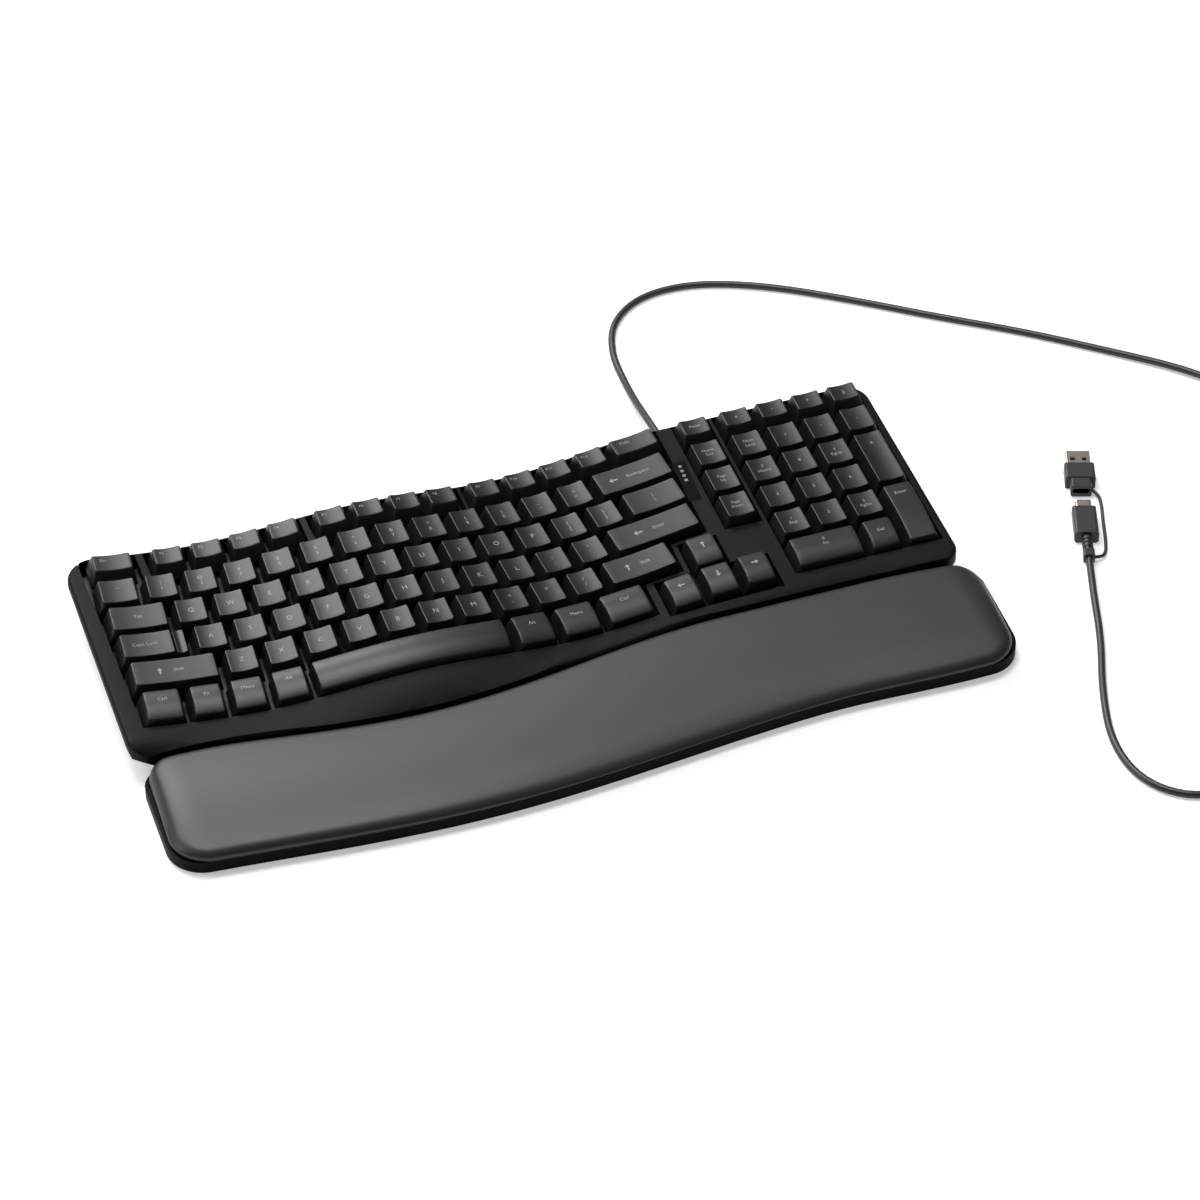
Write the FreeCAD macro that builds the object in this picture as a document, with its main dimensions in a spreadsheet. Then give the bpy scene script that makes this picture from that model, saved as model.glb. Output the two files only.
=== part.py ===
import FreeCAD, Part
import math
import os
from types import SimpleNamespace

import Sketcher

V = FreeCAD.Vector
X_AXIS = V(1, 0, 0)
Y_AXIS = V(0, 1, 0)
Z_AXIS = V(0, 0, 1)

doc = FreeCAD.newDocument("ergonomic_keyboard")

# Driving sizes, in millimetres and degrees. The origin is at the middle of the
# footprint on the desk, +X to the right, +Y away from the user, +Z up.
SIZES = {
    # Case outline
    "case_width": 416.0,
    "case_left_back": -206.5,
    "case_left_front": -209.5,
    "case_right_back": 206.2,
    "case_right_front": 206.8,
    "case_wall": 2.5,
    "case_skin": 2.2,
    "case_back_left_corner": 15.0,
    "case_back_right_corner": 12.0,
    "case_front_left_corner": 9.0,
    "case_front_right_corner": 9.0,
    "case_rounding": 2.4,
    "case_drop": 5.5,
    "case_tuck": 1.2,
    "side_band": 4.5,
    "side_lean": 0.42,
    "corner_lean": 1.45,
    "corner_reach": 211.75,
    "parting_height": 9.0,
    "parting_gap": 0.3,
    "floor_bottom": 1.0,
    "floor_thickness": 2.2,
    "back_margin": 68.3,
    "back_flat_from": 130.0,
    "seam_line": -24.5,
    "seam_swell": 15.4,
    "seam_swell_at": -65.6,
    "seam_swell_reach": 150.0,
    "seam_height": 17.0,
    "seam_droop": 3.5,
    "seam_droop_from": 150.0,
    "slope_depth": 7.2,
    "slope_swell": 10.5,
    "slope_lead": 0.12,
    # Key surface: tilted plane, centre hump and hand hollows, smiling rows
    "tilt_angle": 4.14,
    "key_plane": 25.75,
    "hump_at": -63.6,
    "hump_height": 7.0,
    "shoulder_height": 4.0,
    "wave_reach": 88.0,
    "wave_drop": 1.8,
    "wave_lean": 0.0114,
    "block_middle": -53.6,
    "row_a_line": 26.7,
    "smile_rise": 5.4,
    "smile_ease": 0.6,
    "row_pitch": 18.75,
    "key_pitch": 18.95,
    "pad_pitch": 19.05,
    # Places along the rows, measured from the middle of the block
    "block_left": -144.3,
    "block_right": 147.8,
    "launch_overrun": 1.0,
    "shift_right": 128.3,
    "escape_right": -118.6,
    "function_first": -103.6,
    "function_second": -23.4,
    "function_third": 55.4,
    "function_pitch": 18.8,
    "function_depth": 16.9,
    "function_step": 0.55,
    "brow_depth": 19.7,
    "brow_step": 1.5,
    "number_first": -112.3,
    "q_first": -103.4,
    "a_first": -99.4,
    "z_first": -90.1,
    "modifier_first": -122.2,
    "modifier_second": -102.9,
    "modifier_third": -83.3,
    "space_left": -63.4,
    "space_right": 35.2,
    "modifier_fifth": 57.8,
    "modifier_sixth": 80.9,
    "modifiers_right": 107.6,
    # Number pad, navigation column and arrows, measured from the middle of the keyboard
    "pad_left": 135.2,
    "pad_back": 72.6,
    "pad_brow_y": -4.4,
    "media_step": 19.2,
    "media_shift": 0.5,
    "navigation_x": 113.8,
    "arrow_up_x": 88.2,
    "arrow_up_y": 12.2,
    "arrow_line": -8.4,
    "arrow_step": 19.2,
    "arrow_bend": 1.0,
    # Keycaps
    "key_gap": 0.9,
    "cap_height": 8.8,
    "cap_wall": 1.3,
    "cap_side_taper": 2.3,
    "cap_front_taper": 1.9,
    "cap_back_taper": 1.0,
    "function_front_taper": 3.6,
    "function_back_taper": 1.8,
    "cap_dish": 0.45,
    "cap_brow": 3.2,
    "stem_side": 6.0,
    "stem_clearance": 0.25,
    "key_travel": 3.2,
    "well_gap": 0.8,
    "well_end_gap": 1.0,
    "well_left_room": 0.4,
    "well_lip": 1.5,
    "well_shift": 0.5,
    "arrow_well_gap": 1.2,
    # Plates below the keys
    "press_clearance": 0.62,
    "plate_thickness": 1.2,
    "chimney_height": 3.5,
    "chimney_wall": 1.2,
    "dome_clearance": 0.45,
    "dome_sheet_thickness": 0.6,
    "dome_radius": 4.6,
    "dome_height": 0.35,
    "membrane_thickness": 0.3,
    "backing_thickness": 0.8,
    "plate_side_gap": 0.6,
    "seat_gap": 0.15,
    # Screws and posts
    "post_radius": 2.4,
    "screw_radius": 1.2,
    "screw_head_radius": 2.4,
    "screw_head_height": 1.4,
    "screw_sink": 0.2,
    "post_clearance": 0.5,
    "boss_wall": 1.2,
    # Status window
    "window_width": 6.4,
    "window_length": 27.8,
    "window_thickness": 1.6,
    "window_x": 98.3,
    "window_y": 62.4,
    "window_lean": 2.4,
    "window_seat_gap": 0.1,
    "light_side": 1.6,
    "light_pitch": 3.25,
    "light_first": 10.8,
    # Wrist rest
    "rest_left_back": -206.0,
    "rest_left_front": -208.3,
    "rest_right_back": 214.4,
    "rest_right_front": 211.6,
    "rest_back_left_corner": 12.0,
    "rest_back_right_corner": 14.0,
    "rest_front_left_corner": 18.0,
    "rest_front_right_corner": 18.0,
    "rest_depth": 67.2,
    "rest_front_swell": 13.2,
    "rest_front_swell_at": -60.0,
    "rest_front_swell_reach": 195.0,
    "rest_pad_swell": 2.4,
    "rest_pad_swell_at": 185.0,
    "rest_pad_swell_reach": 74.0,
    "rest_base_height": 7.5,
    "rest_wall": 2.2,
    "rest_board_thickness": 2.4,
    "rest_gap": 0.3,
    "rest_front_height": 13.0,
    "rest_crown": 2.6,
    "cushion_side_inset": 2.0,
    "cushion_overhang": 0.8,
    # Rubber pads on the underside
    "pad_length": 26.0,
    "pad_width": 8.0,
    "pad_seat": 0.6,
    # Tilt feet
    "foot_span": 46.0,
    "foot_reach": 18.0,
    "foot_thickness": 3.6,
    "foot_x": 140.0,
    "foot_hinge_y": 80.0,
    "foot_pin_radius": 1.5,
    "foot_pin_length": 2.0,
    "foot_pin_clearance": 0.05,
    "foot_clearance": 0.6,
    "foot_pocket_wall": 2.0,
    "foot_tip_thickness": 1.2,
    # Cord, gland and plug
    "cord_diameter": 3.7,
    "gland_length": 10.0,
    "gland_radius": 2.9,
    "cord_exit_x": 102.4,
    "cord_exit_height": 13.6,
    "plug_tip_x": 297.8,
    "plug_tip_y": 38.5,
    "plug_heading": 70.0,
    "plug_axis_height": 4.0,
    "tether_diameter": 1.75,
}

sheet = doc.addObject("Spreadsheet::Sheet", "Sizes")
for line, (alias, value) in enumerate(SIZES.items(), start=1):
    sheet.set(f"A{line}", alias)
    sheet.set(f"B{line}", str(value))
    sheet.setAlias(f"B{line}", alias)
doc.recompute()
dim = SimpleNamespace(**{alias: float(sheet.get(alias)) for alias in SIZES})

tilt = math.radians(dim.tilt_angle)
travel_axis = V(0, -math.sin(tilt), math.cos(tilt))
cord_radius = dim.cord_diameter / 2
FAR = 300.0

# Levels below the key surface
plate_drop = dim.cap_height + dim.key_travel + dim.press_clearance
stem_drop = plate_drop - dim.seat_gap * 2
dome_sheet_drop = stem_drop + dim.key_travel + dim.dome_clearance + dim.dome_height
membrane_drop = dome_sheet_drop + dim.dome_sheet_thickness
backing_drop = membrane_drop + dim.membrane_thickness
stack_drop = backing_drop + dim.backing_thickness

nodes = {}


def swell(x, middle, reach):
    """A smooth rise from 0 to 1 and back to 0: one wave of a cosine centred on middle."""
    if abs(x - middle) >= reach:
        return 0.0
    return (1 + math.cos(math.pi * (x - middle) / reach)) / 2


def smile(x):
    """How far a row of the main block bends away from the user at x: an even quartic."""
    share = (x - dim.block_middle) / 100
    return dim.smile_rise * share**2 - dim.smile_ease * share**4


def smile_angle(x):
    """The turn of a key about the upright axis that keeps it square to its curved row."""
    return math.degrees(math.atan(smile(x + 0.5) - smile(x - 0.5)))


def wave(x):
    """Height of the key surface over the tilted plane: a hump between the hands and two hollows."""
    offset = max(-2 * dim.wave_reach, min(x - dim.hump_at, 2 * dim.wave_reach))
    crest = dim.hump_height if abs(offset) < dim.wave_reach else dim.shoulder_height
    lift = crest * (1 + math.cos(math.pi * offset / dim.wave_reach)) / 2
    return lift - dim.wave_drop - dim.wave_lean * offset


def wave_angle(x):
    """The slope of the key surface along the row, in degrees."""
    return math.degrees(math.atan(wave(x + 0.5) - wave(x - 0.5)))


def key_top(x, y):
    """Height of the key surface over the desk."""
    return dim.key_plane + y * math.tan(tilt) + wave(x)


def back_edge(x):
    """Back edge of the case: it follows the rows, then runs straight behind the number pad."""
    followed = min(x, dim.block_middle + dim.back_flat_from)
    return dim.row_a_line + smile(followed) + dim.back_margin


def seam(x):
    """Line where the case ends and the wrist rest begins."""
    droop = max(0.0, abs(x) - dim.seam_droop_from) / (dim.case_width / 2 - dim.seam_droop_from)
    bulge = dim.seam_swell * swell(x, dim.seam_swell_at, dim.seam_swell_reach)
    return dim.seam_line - bulge - dim.seam_droop * droop**2


def front_edge(x):
    """Front edge of the wrist rest, with a bulge under the letters and one under the number pad."""
    letters = swell(x, dim.rest_front_swell_at, dim.rest_front_swell_reach)
    numbers = swell(x, dim.rest_pad_swell_at, dim.rest_pad_swell_reach)
    straight = dim.seam_line - dim.rest_depth
    return straight - dim.rest_front_swell * letters - dim.rest_pad_swell * numbers


def stations(start, end, step):
    """Even places from start to end, at most step apart."""
    count = max(2, math.ceil((end - start) / step))
    return [start + (end - start) * index / count for index in range(count + 1)]


def smooth_edge(points):
    curve = Part.BSplineCurve()
    curve.interpolate(points)
    return curve.toShape()


def polygon_face(points):
    return Part.Face(Part.makePolygon(points + [points[0]]))


def plan_outline(front, back, left, right, inset):
    """Closed outline between two edge rules and two straight sides, drawn in by inset. Each side
    is given by its X at the back and its X at the front."""
    back_places = stations(left[0] + inset, right[0] - inset, 26.0)
    front_places = stations(left[1] + inset, right[1] - inset, 26.0)
    back_points = [V(x, back(x) - inset, 0) for x in back_places]
    front_points = [V(x, front(x) + inset, 0) for x in front_places]
    edges = [
        smooth_edge(front_points),
        Part.makeLine(front_points[-1], back_points[-1]),
        smooth_edge(back_points),
        Part.makeLine(back_points[0], front_points[0]),
    ]
    return Part.Wire(edges)


case_left = (dim.case_left_back, dim.case_left_front)
case_right = (dim.case_right_back, dim.case_right_front)
rest_left = (dim.rest_left_back, dim.rest_left_front)
rest_right = (dim.rest_right_back, dim.rest_right_front)


def case_outline(inset):
    return plan_outline(seam, back_edge, case_left, case_right, inset)


def rest_outline(inset):
    return plan_outline(front_edge, lambda x: seam(x) - dim.rest_gap, rest_left, rest_right, inset)


def prism(wire, bottom, top):
    face = Part.Face(wire)
    face.translate(V(0, 0, bottom))
    return face.extrude(V(0, 0, top - bottom))


def is_upright(edge):
    box = edge.BoundBox
    return box.XLength < 0.01 and box.YLength < 0.01


def is_over(edge, place):
    """Whether an upright edge stands over a place on the desk."""
    point = edge.Vertexes[0].Point
    return abs(point.x - place.x) < 0.01 and abs(point.y - place.y) < 0.01


case_corners = {
    "back_left": dim.case_back_left_corner,
    "back_right": dim.case_back_right_corner,
    "front_left": dim.case_front_left_corner,
    "front_right": dim.case_front_right_corner,
}
rest_corners = {
    "back_left": dim.rest_back_left_corner,
    "back_right": dim.rest_back_right_corner,
    "front_left": dim.rest_front_left_corner,
    "front_right": dim.rest_front_right_corner,
}


def rounded_prism(wire, bottom, top, corners, inset):
    """An upright prism on an outline drawn in by inset, with each corner rounded by its own
    radius less that inset."""
    solid = prism(wire, bottom, top)
    middle = solid.BoundBox.Center
    for place in [edge.Vertexes[0].Point for edge in solid.Edges if is_upright(edge)]:
        depth = "back" if place.y > middle.y else "front"
        side = "left" if place.x < middle.x else "right"
        upright = [edge for edge in solid.Edges if is_upright(edge) and is_over(edge, place)]
        solid = solid.makeFillet(corners[f"{depth}_{side}"] - inset, upright)
    return solid


def wave_points(drop, y):
    """Points across the case on the key surface lowered by drop, at depth y."""
    half = dim.case_width / 2 + 10
    return [V(x, y, key_top(x, y) - drop) for x in stations(-half, half, 16.0)]


def under_wave(drop):
    """Everything below the key surface lowered by drop."""
    ridge = wave_points(drop, -FAR)
    left = V(ridge[0].x, -FAR, -FAR)
    right = V(ridge[-1].x, -FAR, -FAR)
    edges = [
        smooth_edge(ridge),
        Part.makeLine(ridge[-1], right),
        Part.makeLine(right, left),
        Part.makeLine(left, ridge[0]),
    ]
    face = Part.Face(Part.Wire(edges))
    return face.extrude(V(0, 2 * FAR, 2 * FAR * math.tan(tilt)))


def wave_layer(drop, thickness):
    """A sheet that follows the key surface, its upper side lowered by drop."""
    upper = wave_points(drop, -FAR)
    lower = wave_points(drop + thickness, -FAR)
    edges = [
        smooth_edge(upper),
        Part.makeLine(upper[-1], lower[-1]),
        smooth_edge(lower),
        Part.makeLine(lower[0], upper[0]),
    ]
    face = Part.Face(Part.Wire(edges))
    return face.extrude(V(0, 2 * FAR, 2 * FAR * math.tan(tilt)))


def side_plane(side, back_x, front_x):
    """The plane along which a side of the case leans in, below a band under its top edge:
    its outward direction, and how far out it lies along that direction."""
    front_y = seam(front_x)
    slope = (abs(back_x) - abs(front_x)) / (back_edge(back_x) - front_y)
    level = abs(front_x) - slope * front_y
    rim = key_top(side * level, 0) - dim.case_drop - dim.side_band
    outward = V(side, dim.side_lean * math.tan(tilt) - slope, -dim.side_lean)
    return outward, level - dim.side_lean * rim


def corner_plane(side):
    """The plane that draws a front corner of the case in towards its foot."""
    return V(side, -1, -dim.corner_lean), dim.corner_reach


hull_planes = [
    side_plane(-1, *case_left),
    side_plane(1, *case_right),
    corner_plane(-1),
    corner_plane(1),
]


def tucked_in(solid, inset):
    """What lies inside the leaning sides and corners of the case, drawn in by inset."""
    for outward, limit in hull_planes:
        direction = outward / outward.Length
        beyond = Part.makeBox(2 * FAR, 2 * FAR, FAR, V(-FAR, -FAR, 0))
        beyond.Placement = FreeCAD.Placement(
            direction * (limit / outward.Length - inset), FreeCAD.Rotation(Z_AXIS, direction)
        )
        solid = solid.cut(beyond)
    return solid


def add_shape(name, shape):
    """A sub-part whose form no primitive or sketch gives."""
    feature = doc.addObject("Part::Feature", name)
    feature.Label = name
    feature.Shape = shape
    feature.Placement = shape.Placement
    nodes[name] = feature
    return feature


# Key layout. A cell is the space of one key, with half of the gap all round.


def main_cell(row, start, end, brow=False):
    """A cell of the main block, between two places along its row."""
    middle_x = dim.block_middle + (start + end) / 2
    line = dim.row_a_line + smile(middle_x) + row.offset
    return SimpleNamespace(
        x=middle_x,
        y=line,
        width=end - start,
        depth=row.depth,
        yaw=smile_angle(middle_x),
        brow=brow,
    )


def flat_cell(x, y, width, depth, yaw=0.0, brow=False):
    return SimpleNamespace(x=x, y=y, width=width, depth=depth, yaw=yaw, brow=brow)


def arrow_cell(step, y, yaw):
    """An arrow key, some steps to the right of the upper one."""
    x = dim.arrow_up_x + dim.arrow_step * step
    return flat_cell(x, y, dim.key_pitch, dim.brow_depth, yaw, brow=True)


def key_run(row, first, count, pitch):
    """Neighbouring keys of one width along a row, the middle of the first one at first."""
    middles = [first + pitch * index for index in range(count)]
    return [main_cell(row, middle - pitch / 2, middle + pitch / 2) for middle in middles]


function_offset = 3 * dim.row_pitch + dim.function_step
brow_offset = -2 * dim.row_pitch - dim.brow_step

row_f = SimpleNamespace(offset=function_offset, depth=dim.function_depth)
row_n = SimpleNamespace(offset=2 * dim.row_pitch, depth=dim.row_pitch)
row_q = SimpleNamespace(offset=dim.row_pitch, depth=dim.row_pitch)
row_a = SimpleNamespace(offset=0.0, depth=dim.row_pitch)
row_z = SimpleNamespace(offset=-dim.row_pitch, depth=dim.row_pitch)
row_b = SimpleNamespace(offset=brow_offset, depth=dim.brow_depth)

half_key = dim.key_pitch / 2


def run_end(first, count):
    return first + dim.key_pitch * (count - 1) + half_key


modifier_bounds = (
    dim.block_left,
    dim.modifier_first,
    dim.modifier_second,
    dim.modifier_third,
    dim.space_left,
)
right_modifier_bounds = (
    dim.space_right,
    dim.modifier_fifth,
    dim.modifier_sixth,
    dim.modifiers_right,
)


def neighbours(row, bounds):
    return [main_cell(row, start, end, brow=True) for start, end in zip(bounds, bounds[1:])]


media_y = dim.pad_back + dim.media_step


def pad_x(column):
    return dim.pad_left + dim.pad_pitch * column


def pad_y(row):
    return dim.pad_back - dim.pad_pitch * row


pad_digits = [
    flat_cell(pad_x(column), pad_y(row), dim.pad_pitch, dim.pad_pitch)
    for row in range(4)
    for column in range(4 if row == 0 else 3)
]
pad_point = flat_cell(pad_x(2), dim.pad_brow_y, dim.pad_pitch, dim.brow_depth, brow=True)
plus_depth = 2 * dim.pad_pitch
enter_front = dim.pad_brow_y - dim.brow_depth / 2
enter_depth = pad_y(2.5) - enter_front

function_end = dim.function_third + 3.5 * dim.function_pitch
launch_end = dim.block_right + dim.launch_overrun

keys = {
    "escape_key": [main_cell(row_f, dim.block_left, dim.escape_right)],
    "function_keys_left": key_run(row_f, dim.function_first, 4, dim.function_pitch),
    "function_keys_middle": key_run(row_f, dim.function_second, 4, dim.function_pitch),
    "function_keys_right": key_run(row_f, dim.function_third, 4, dim.function_pitch),
    "launch_key": [main_cell(row_f, function_end, launch_end)],
    "number_row_keys": [main_cell(row_n, dim.block_left, dim.number_first - half_key)]
    + key_run(row_n, dim.number_first, 12, dim.key_pitch),
    "backspace_key": [main_cell(row_n, run_end(dim.number_first, 12), dim.block_right)],
    "tab_key": [main_cell(row_q, dim.block_left, dim.q_first - half_key)],
    "q_row_keys": key_run(row_q, dim.q_first, 12, dim.key_pitch)
    + [main_cell(row_q, run_end(dim.q_first, 12), dim.block_right)],
    "caps_lock_key": [main_cell(row_a, dim.block_left, dim.a_first - half_key)],
    "a_row_keys": key_run(row_a, dim.a_first, 11, dim.key_pitch),
    "enter_key": [main_cell(row_a, run_end(dim.a_first, 11), dim.block_right)],
    "left_shift_key": [main_cell(row_z, dim.block_left, dim.z_first - half_key)],
    "z_row_keys": key_run(row_z, dim.z_first, 10, dim.key_pitch),
    "right_shift_key": [main_cell(row_z, run_end(dim.z_first, 10), dim.shift_right)],
    "left_modifier_keys": neighbours(row_b, modifier_bounds),
    "right_modifier_keys": neighbours(row_b, right_modifier_bounds),
    "arrow_up_key": [arrow_cell(0, dim.arrow_up_y, 3.0)],
    "arrow_left_key": [arrow_cell(-1, dim.arrow_line - dim.arrow_bend, 3.0)],
    "arrow_down_key": [arrow_cell(0, dim.arrow_line, 2.0)],
    "arrow_right_key": [arrow_cell(1, dim.arrow_line + dim.arrow_bend, 1.0)],
    "navigation_keys": [flat_cell(dim.navigation_x, media_y, dim.pad_pitch, dim.function_depth)]
    + [flat_cell(dim.navigation_x, pad_y(row), dim.pad_pitch, dim.pad_pitch) for row in range(3)],
    "media_keys": [
        flat_cell(pad_x(column) + dim.media_shift, media_y, dim.pad_pitch, dim.function_depth)
        for column in range(4)
    ],
    "numpad_keys": pad_digits + [pad_point],
    "numpad_plus_key": [flat_cell(pad_x(3), pad_y(1.5), dim.pad_pitch, plus_depth)],
    "numpad_enter_key": [
        flat_cell(pad_x(3), enter_front + enter_depth / 2, dim.pad_pitch, enter_depth, brow=True)
    ],
    "numpad_zero_key": [
        flat_cell(pad_x(0.5), dim.pad_brow_y, 2 * dim.pad_pitch, dim.brow_depth, brow=True)
    ],
}
space_cell = main_cell(row_b, dim.space_left, dim.space_right, brow=True)


# Keycaps


def arc_through(start, end, drop):
    """Arc from start, level there, to end, which lies drop lower; both in a YZ plane."""
    length = abs(end.y - start.y)
    radius = (length**2 + drop**2) / (2 * drop)
    half_turn = math.asin(length / radius) / 2
    sign = 1 if end.y > start.y else -1
    middle = start + V(0, sign * radius * math.sin(half_turn), -radius * (1 - math.cos(half_turn)))
    return Part.Arc(start, middle, end).toShape()


key_tapers = (dim.cap_front_taper, dim.cap_back_taper)
function_tapers = (dim.function_front_taper, dim.function_back_taper)
overrun = (dim.cap_height + 1.0) / dim.cap_height


def side_outline(depth, wall, brow, tapers):
    """Side view of a keycap, or of its hollow where wall is more than 0, in the YZ plane. Its
    front and back lean in by their tapers."""
    base = -dim.cap_height - (1.0 if wall else 0.0)
    half = depth / 2 - wall
    front_taper, back_taper = tapers
    if wall or not brow:
        top = 1.0 if not wall else -wall - (dim.cap_brow if brow else dim.cap_dish)
        reach = 1.0 if wall else overrun
        front = -half + front_taper * reach
        back = half - back_taper * reach
        points = [V(0, -half, base), V(0, half, base), V(0, back, top), V(0, front, top)]
        return Part.makePolygon(points + [points[0]])
    back = half - back_taper
    shoulder = V(0, back - 0.36 * depth, 0)
    lip = V(0, -half + 0.5 * front_taper, -dim.cap_brow)
    edges = [
        Part.makeLine(V(0, -half, base), V(0, half, base)),
        Part.makeLine(V(0, half, base), V(0, back, 0)),
        Part.makeLine(V(0, back, 0), shoulder),
        arc_through(shoulder, lip, dim.cap_brow),
        Part.makeLine(lip, V(0, -half, base)),
    ]
    return Part.Wire(edges)


def front_outline(width, wall, brow):
    """Front view of a keycap, or of its hollow, in the XZ plane: a trapezium, dished on top."""
    base = -dim.cap_height - (1.0 if wall else 0.0)
    half = width / 2 - wall
    if brow or wall:
        narrow = half - dim.cap_side_taper * overrun
        points = [V(-half, 0, base), V(half, 0, base), V(narrow, 0, 1.0), V(-narrow, 0, 1.0)]
        return Part.makePolygon(points + [points[0]])
    narrow = half - dim.cap_side_taper
    edges = [
        Part.makeLine(V(-half, 0, base), V(half, 0, base)),
        Part.makeLine(V(half, 0, base), V(narrow, 0, 0)),
        Part.Arc(V(narrow, 0, 0), V(0, 0, -dim.cap_dish), V(-narrow, 0, 0)).toShape(),
        Part.makeLine(V(-narrow, 0, 0), V(-half, 0, base)),
    ]
    return Part.Wire(edges)


def crossed(width, depth, wall, brow, tapers):
    """The solid that has both outlines: the side view run across, cut by the front view."""
    side = Part.Face(side_outline(depth, wall, brow, tapers))
    side.translate(V(-width, 0, 0))
    front = Part.Face(front_outline(width, wall, brow))
    front.translate(V(0, -depth, 0))
    return side.extrude(V(2 * width, 0, 0)).common(front.extrude(V(0, 2 * depth, 0)))


def cap_shell(width, depth, brow, tapers):
    hollow = crossed(width, depth, dim.cap_wall, brow, tapers)
    return crossed(width, depth, 0, brow, tapers).cut(hollow)


def cap_ceiling(brow):
    return dim.cap_wall + (dim.cap_brow if brow else dim.cap_dish)


def square_post(side, top, bottom):
    return Part.makeBox(side, side, top - bottom, V(-side / 2, -side / 2, bottom))


def key_frame(cell):
    """The place of a key: its origin at the middle of its top, square to the travel."""
    place = V(cell.x, cell.y, key_top(cell.x, cell.y))
    tipped = FreeCAD.Placement(place, FreeCAD.Rotation(X_AXIS, dim.tilt_angle))
    return tipped.multiply(FreeCAD.Placement(V(), FreeCAD.Rotation(Z_AXIS, cell.yaw)))


def keycap(cell):
    """A hollow cap, rolled to the slope of the wave, on a stem that stays square to its travel."""
    tapers = function_tapers if cell.depth == dim.function_depth else key_tapers
    shell = cap_shell(cell.width - dim.key_gap, cell.depth - dim.key_gap, cell.brow, tapers)
    shell.Placement = FreeCAD.Placement(V(), FreeCAD.Rotation(Y_AXIS, -wave_angle(cell.x)))
    stem = square_post(dim.stem_side, -cap_ceiling(cell.brow) + 0.6, -stem_drop)
    solid = shell.fuse(stem)
    solid.Placement = key_frame(cell)
    return solid


def space_section(x, wall):
    """Side view of the space bar at x, on the row's curve and the wave's height."""
    section = side_outline(dim.brow_depth - dim.key_gap, wall, True, key_tapers)
    line = dim.row_a_line + smile(x) + brow_offset
    turn = FreeCAD.Rotation(X_AXIS, dim.tilt_angle)
    section.Placement = FreeCAD.Placement(V(x, line, key_top(x, line)), turn)
    return section


def space_body(start, end, wall):
    sections = [space_section(x, wall) for x in stations(start, end, 14.0)]
    return Part.makeLoft(sections, True, False)


def end_line(x, taper):
    """The leaning end of the long bar at x, from well below its base to well over its top. Its
    base is set square to the wave, as the bases of the caps next to it are."""
    shift = dim.cap_height * math.tan(math.radians(wave_angle(x)))
    top = V(x + taper, 0, key_top(x, space_cell.y))
    base = V(x + shift, 0, top.z - dim.cap_height)
    rise = top - base
    return [base - rise, top + rise * 2]


def space_bar():
    """The long bar follows the hump and the smile, so its side view is carried along both."""
    start = space_cell.x - space_cell.width / 2 + dim.key_gap / 2
    end = space_cell.x + space_cell.width / 2 - dim.key_gap / 2
    left = end_line(start, dim.cap_side_taper)
    right = end_line(end, -dim.cap_side_taper)
    ends = polygon_face([left[0], right[0], right[1], left[1]])
    ends.translate(V(0, -FAR / 2, 0))
    outer = space_body(start, end, 0).common(ends.extrude(V(0, FAR, 0)))
    inner = space_body(start + 4 * dim.cap_wall, end - 4 * dim.cap_wall, dim.cap_wall)
    shell = outer.cut(inner)
    stem = square_post(dim.stem_side, -cap_ceiling(True) + 0.6, -stem_drop)
    stem.Placement = key_frame(space_cell)
    return shell.fuse(stem)


for name, cells in keys.items():
    add_shape(name, Part.makeCompound([keycap(cell) for cell in cells]))
add_shape("space_bar", space_bar())
all_cells = [cell for cells in keys.values() for cell in cells] + [space_cell]


# Wells: the openings in the case that the keys stand in


def row_line(place, offset):
    """A point on the desk at a place along a row of the main block."""
    x = dim.block_middle + place
    return V(x, dim.row_a_line + smile(x) + offset, 0)


def row_strip(start, end, front_offset, back_offset):
    """A band of the main block that bends with the rows, as a tall solid."""
    places = stations(start, end, 18.0)
    front = [row_line(place, front_offset) for place in places]
    back = [row_line(place, back_offset) for place in places]
    edges = [
        smooth_edge(front),
        Part.makeLine(front[-1], back[-1]),
        smooth_edge(back),
        Part.makeLine(back[0], front[0]),
    ]
    return prism(Part.Wire(edges), -FAR, FAR)


def middle_of(row):
    """The middle line of a row, as a row without depth: a well that ends there opens into it."""
    return SimpleNamespace(offset=row.offset, depth=0.0)


def block_well(start, end, front_row, back_row, margin):
    """The well of some rows of the main block; margin widens it, for the lip around it."""
    reach = dim.well_gap - dim.key_gap / 2 + margin
    end_reach = dim.well_end_gap + margin
    front_offset = front_row.offset - front_row.depth / 2 - reach + dim.well_shift
    back_offset = back_row.offset + back_row.depth / 2 + reach + dim.well_shift
    return row_strip(start - end_reach, end + end_reach, front_offset, back_offset)


def box_well(left, right, front, back, margin, gap=dim.well_gap):
    """The well around a straight group of cells, given by the outer edges of the cells."""
    reach = gap - dim.key_gap / 2 + margin
    width = right - left + 2 * reach
    depth = back - front + 2 * reach
    corner = V(left - reach, front - reach + dim.well_shift, -FAR)
    return Part.makeBox(width, depth, 2 * FAR, corner)


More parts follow.
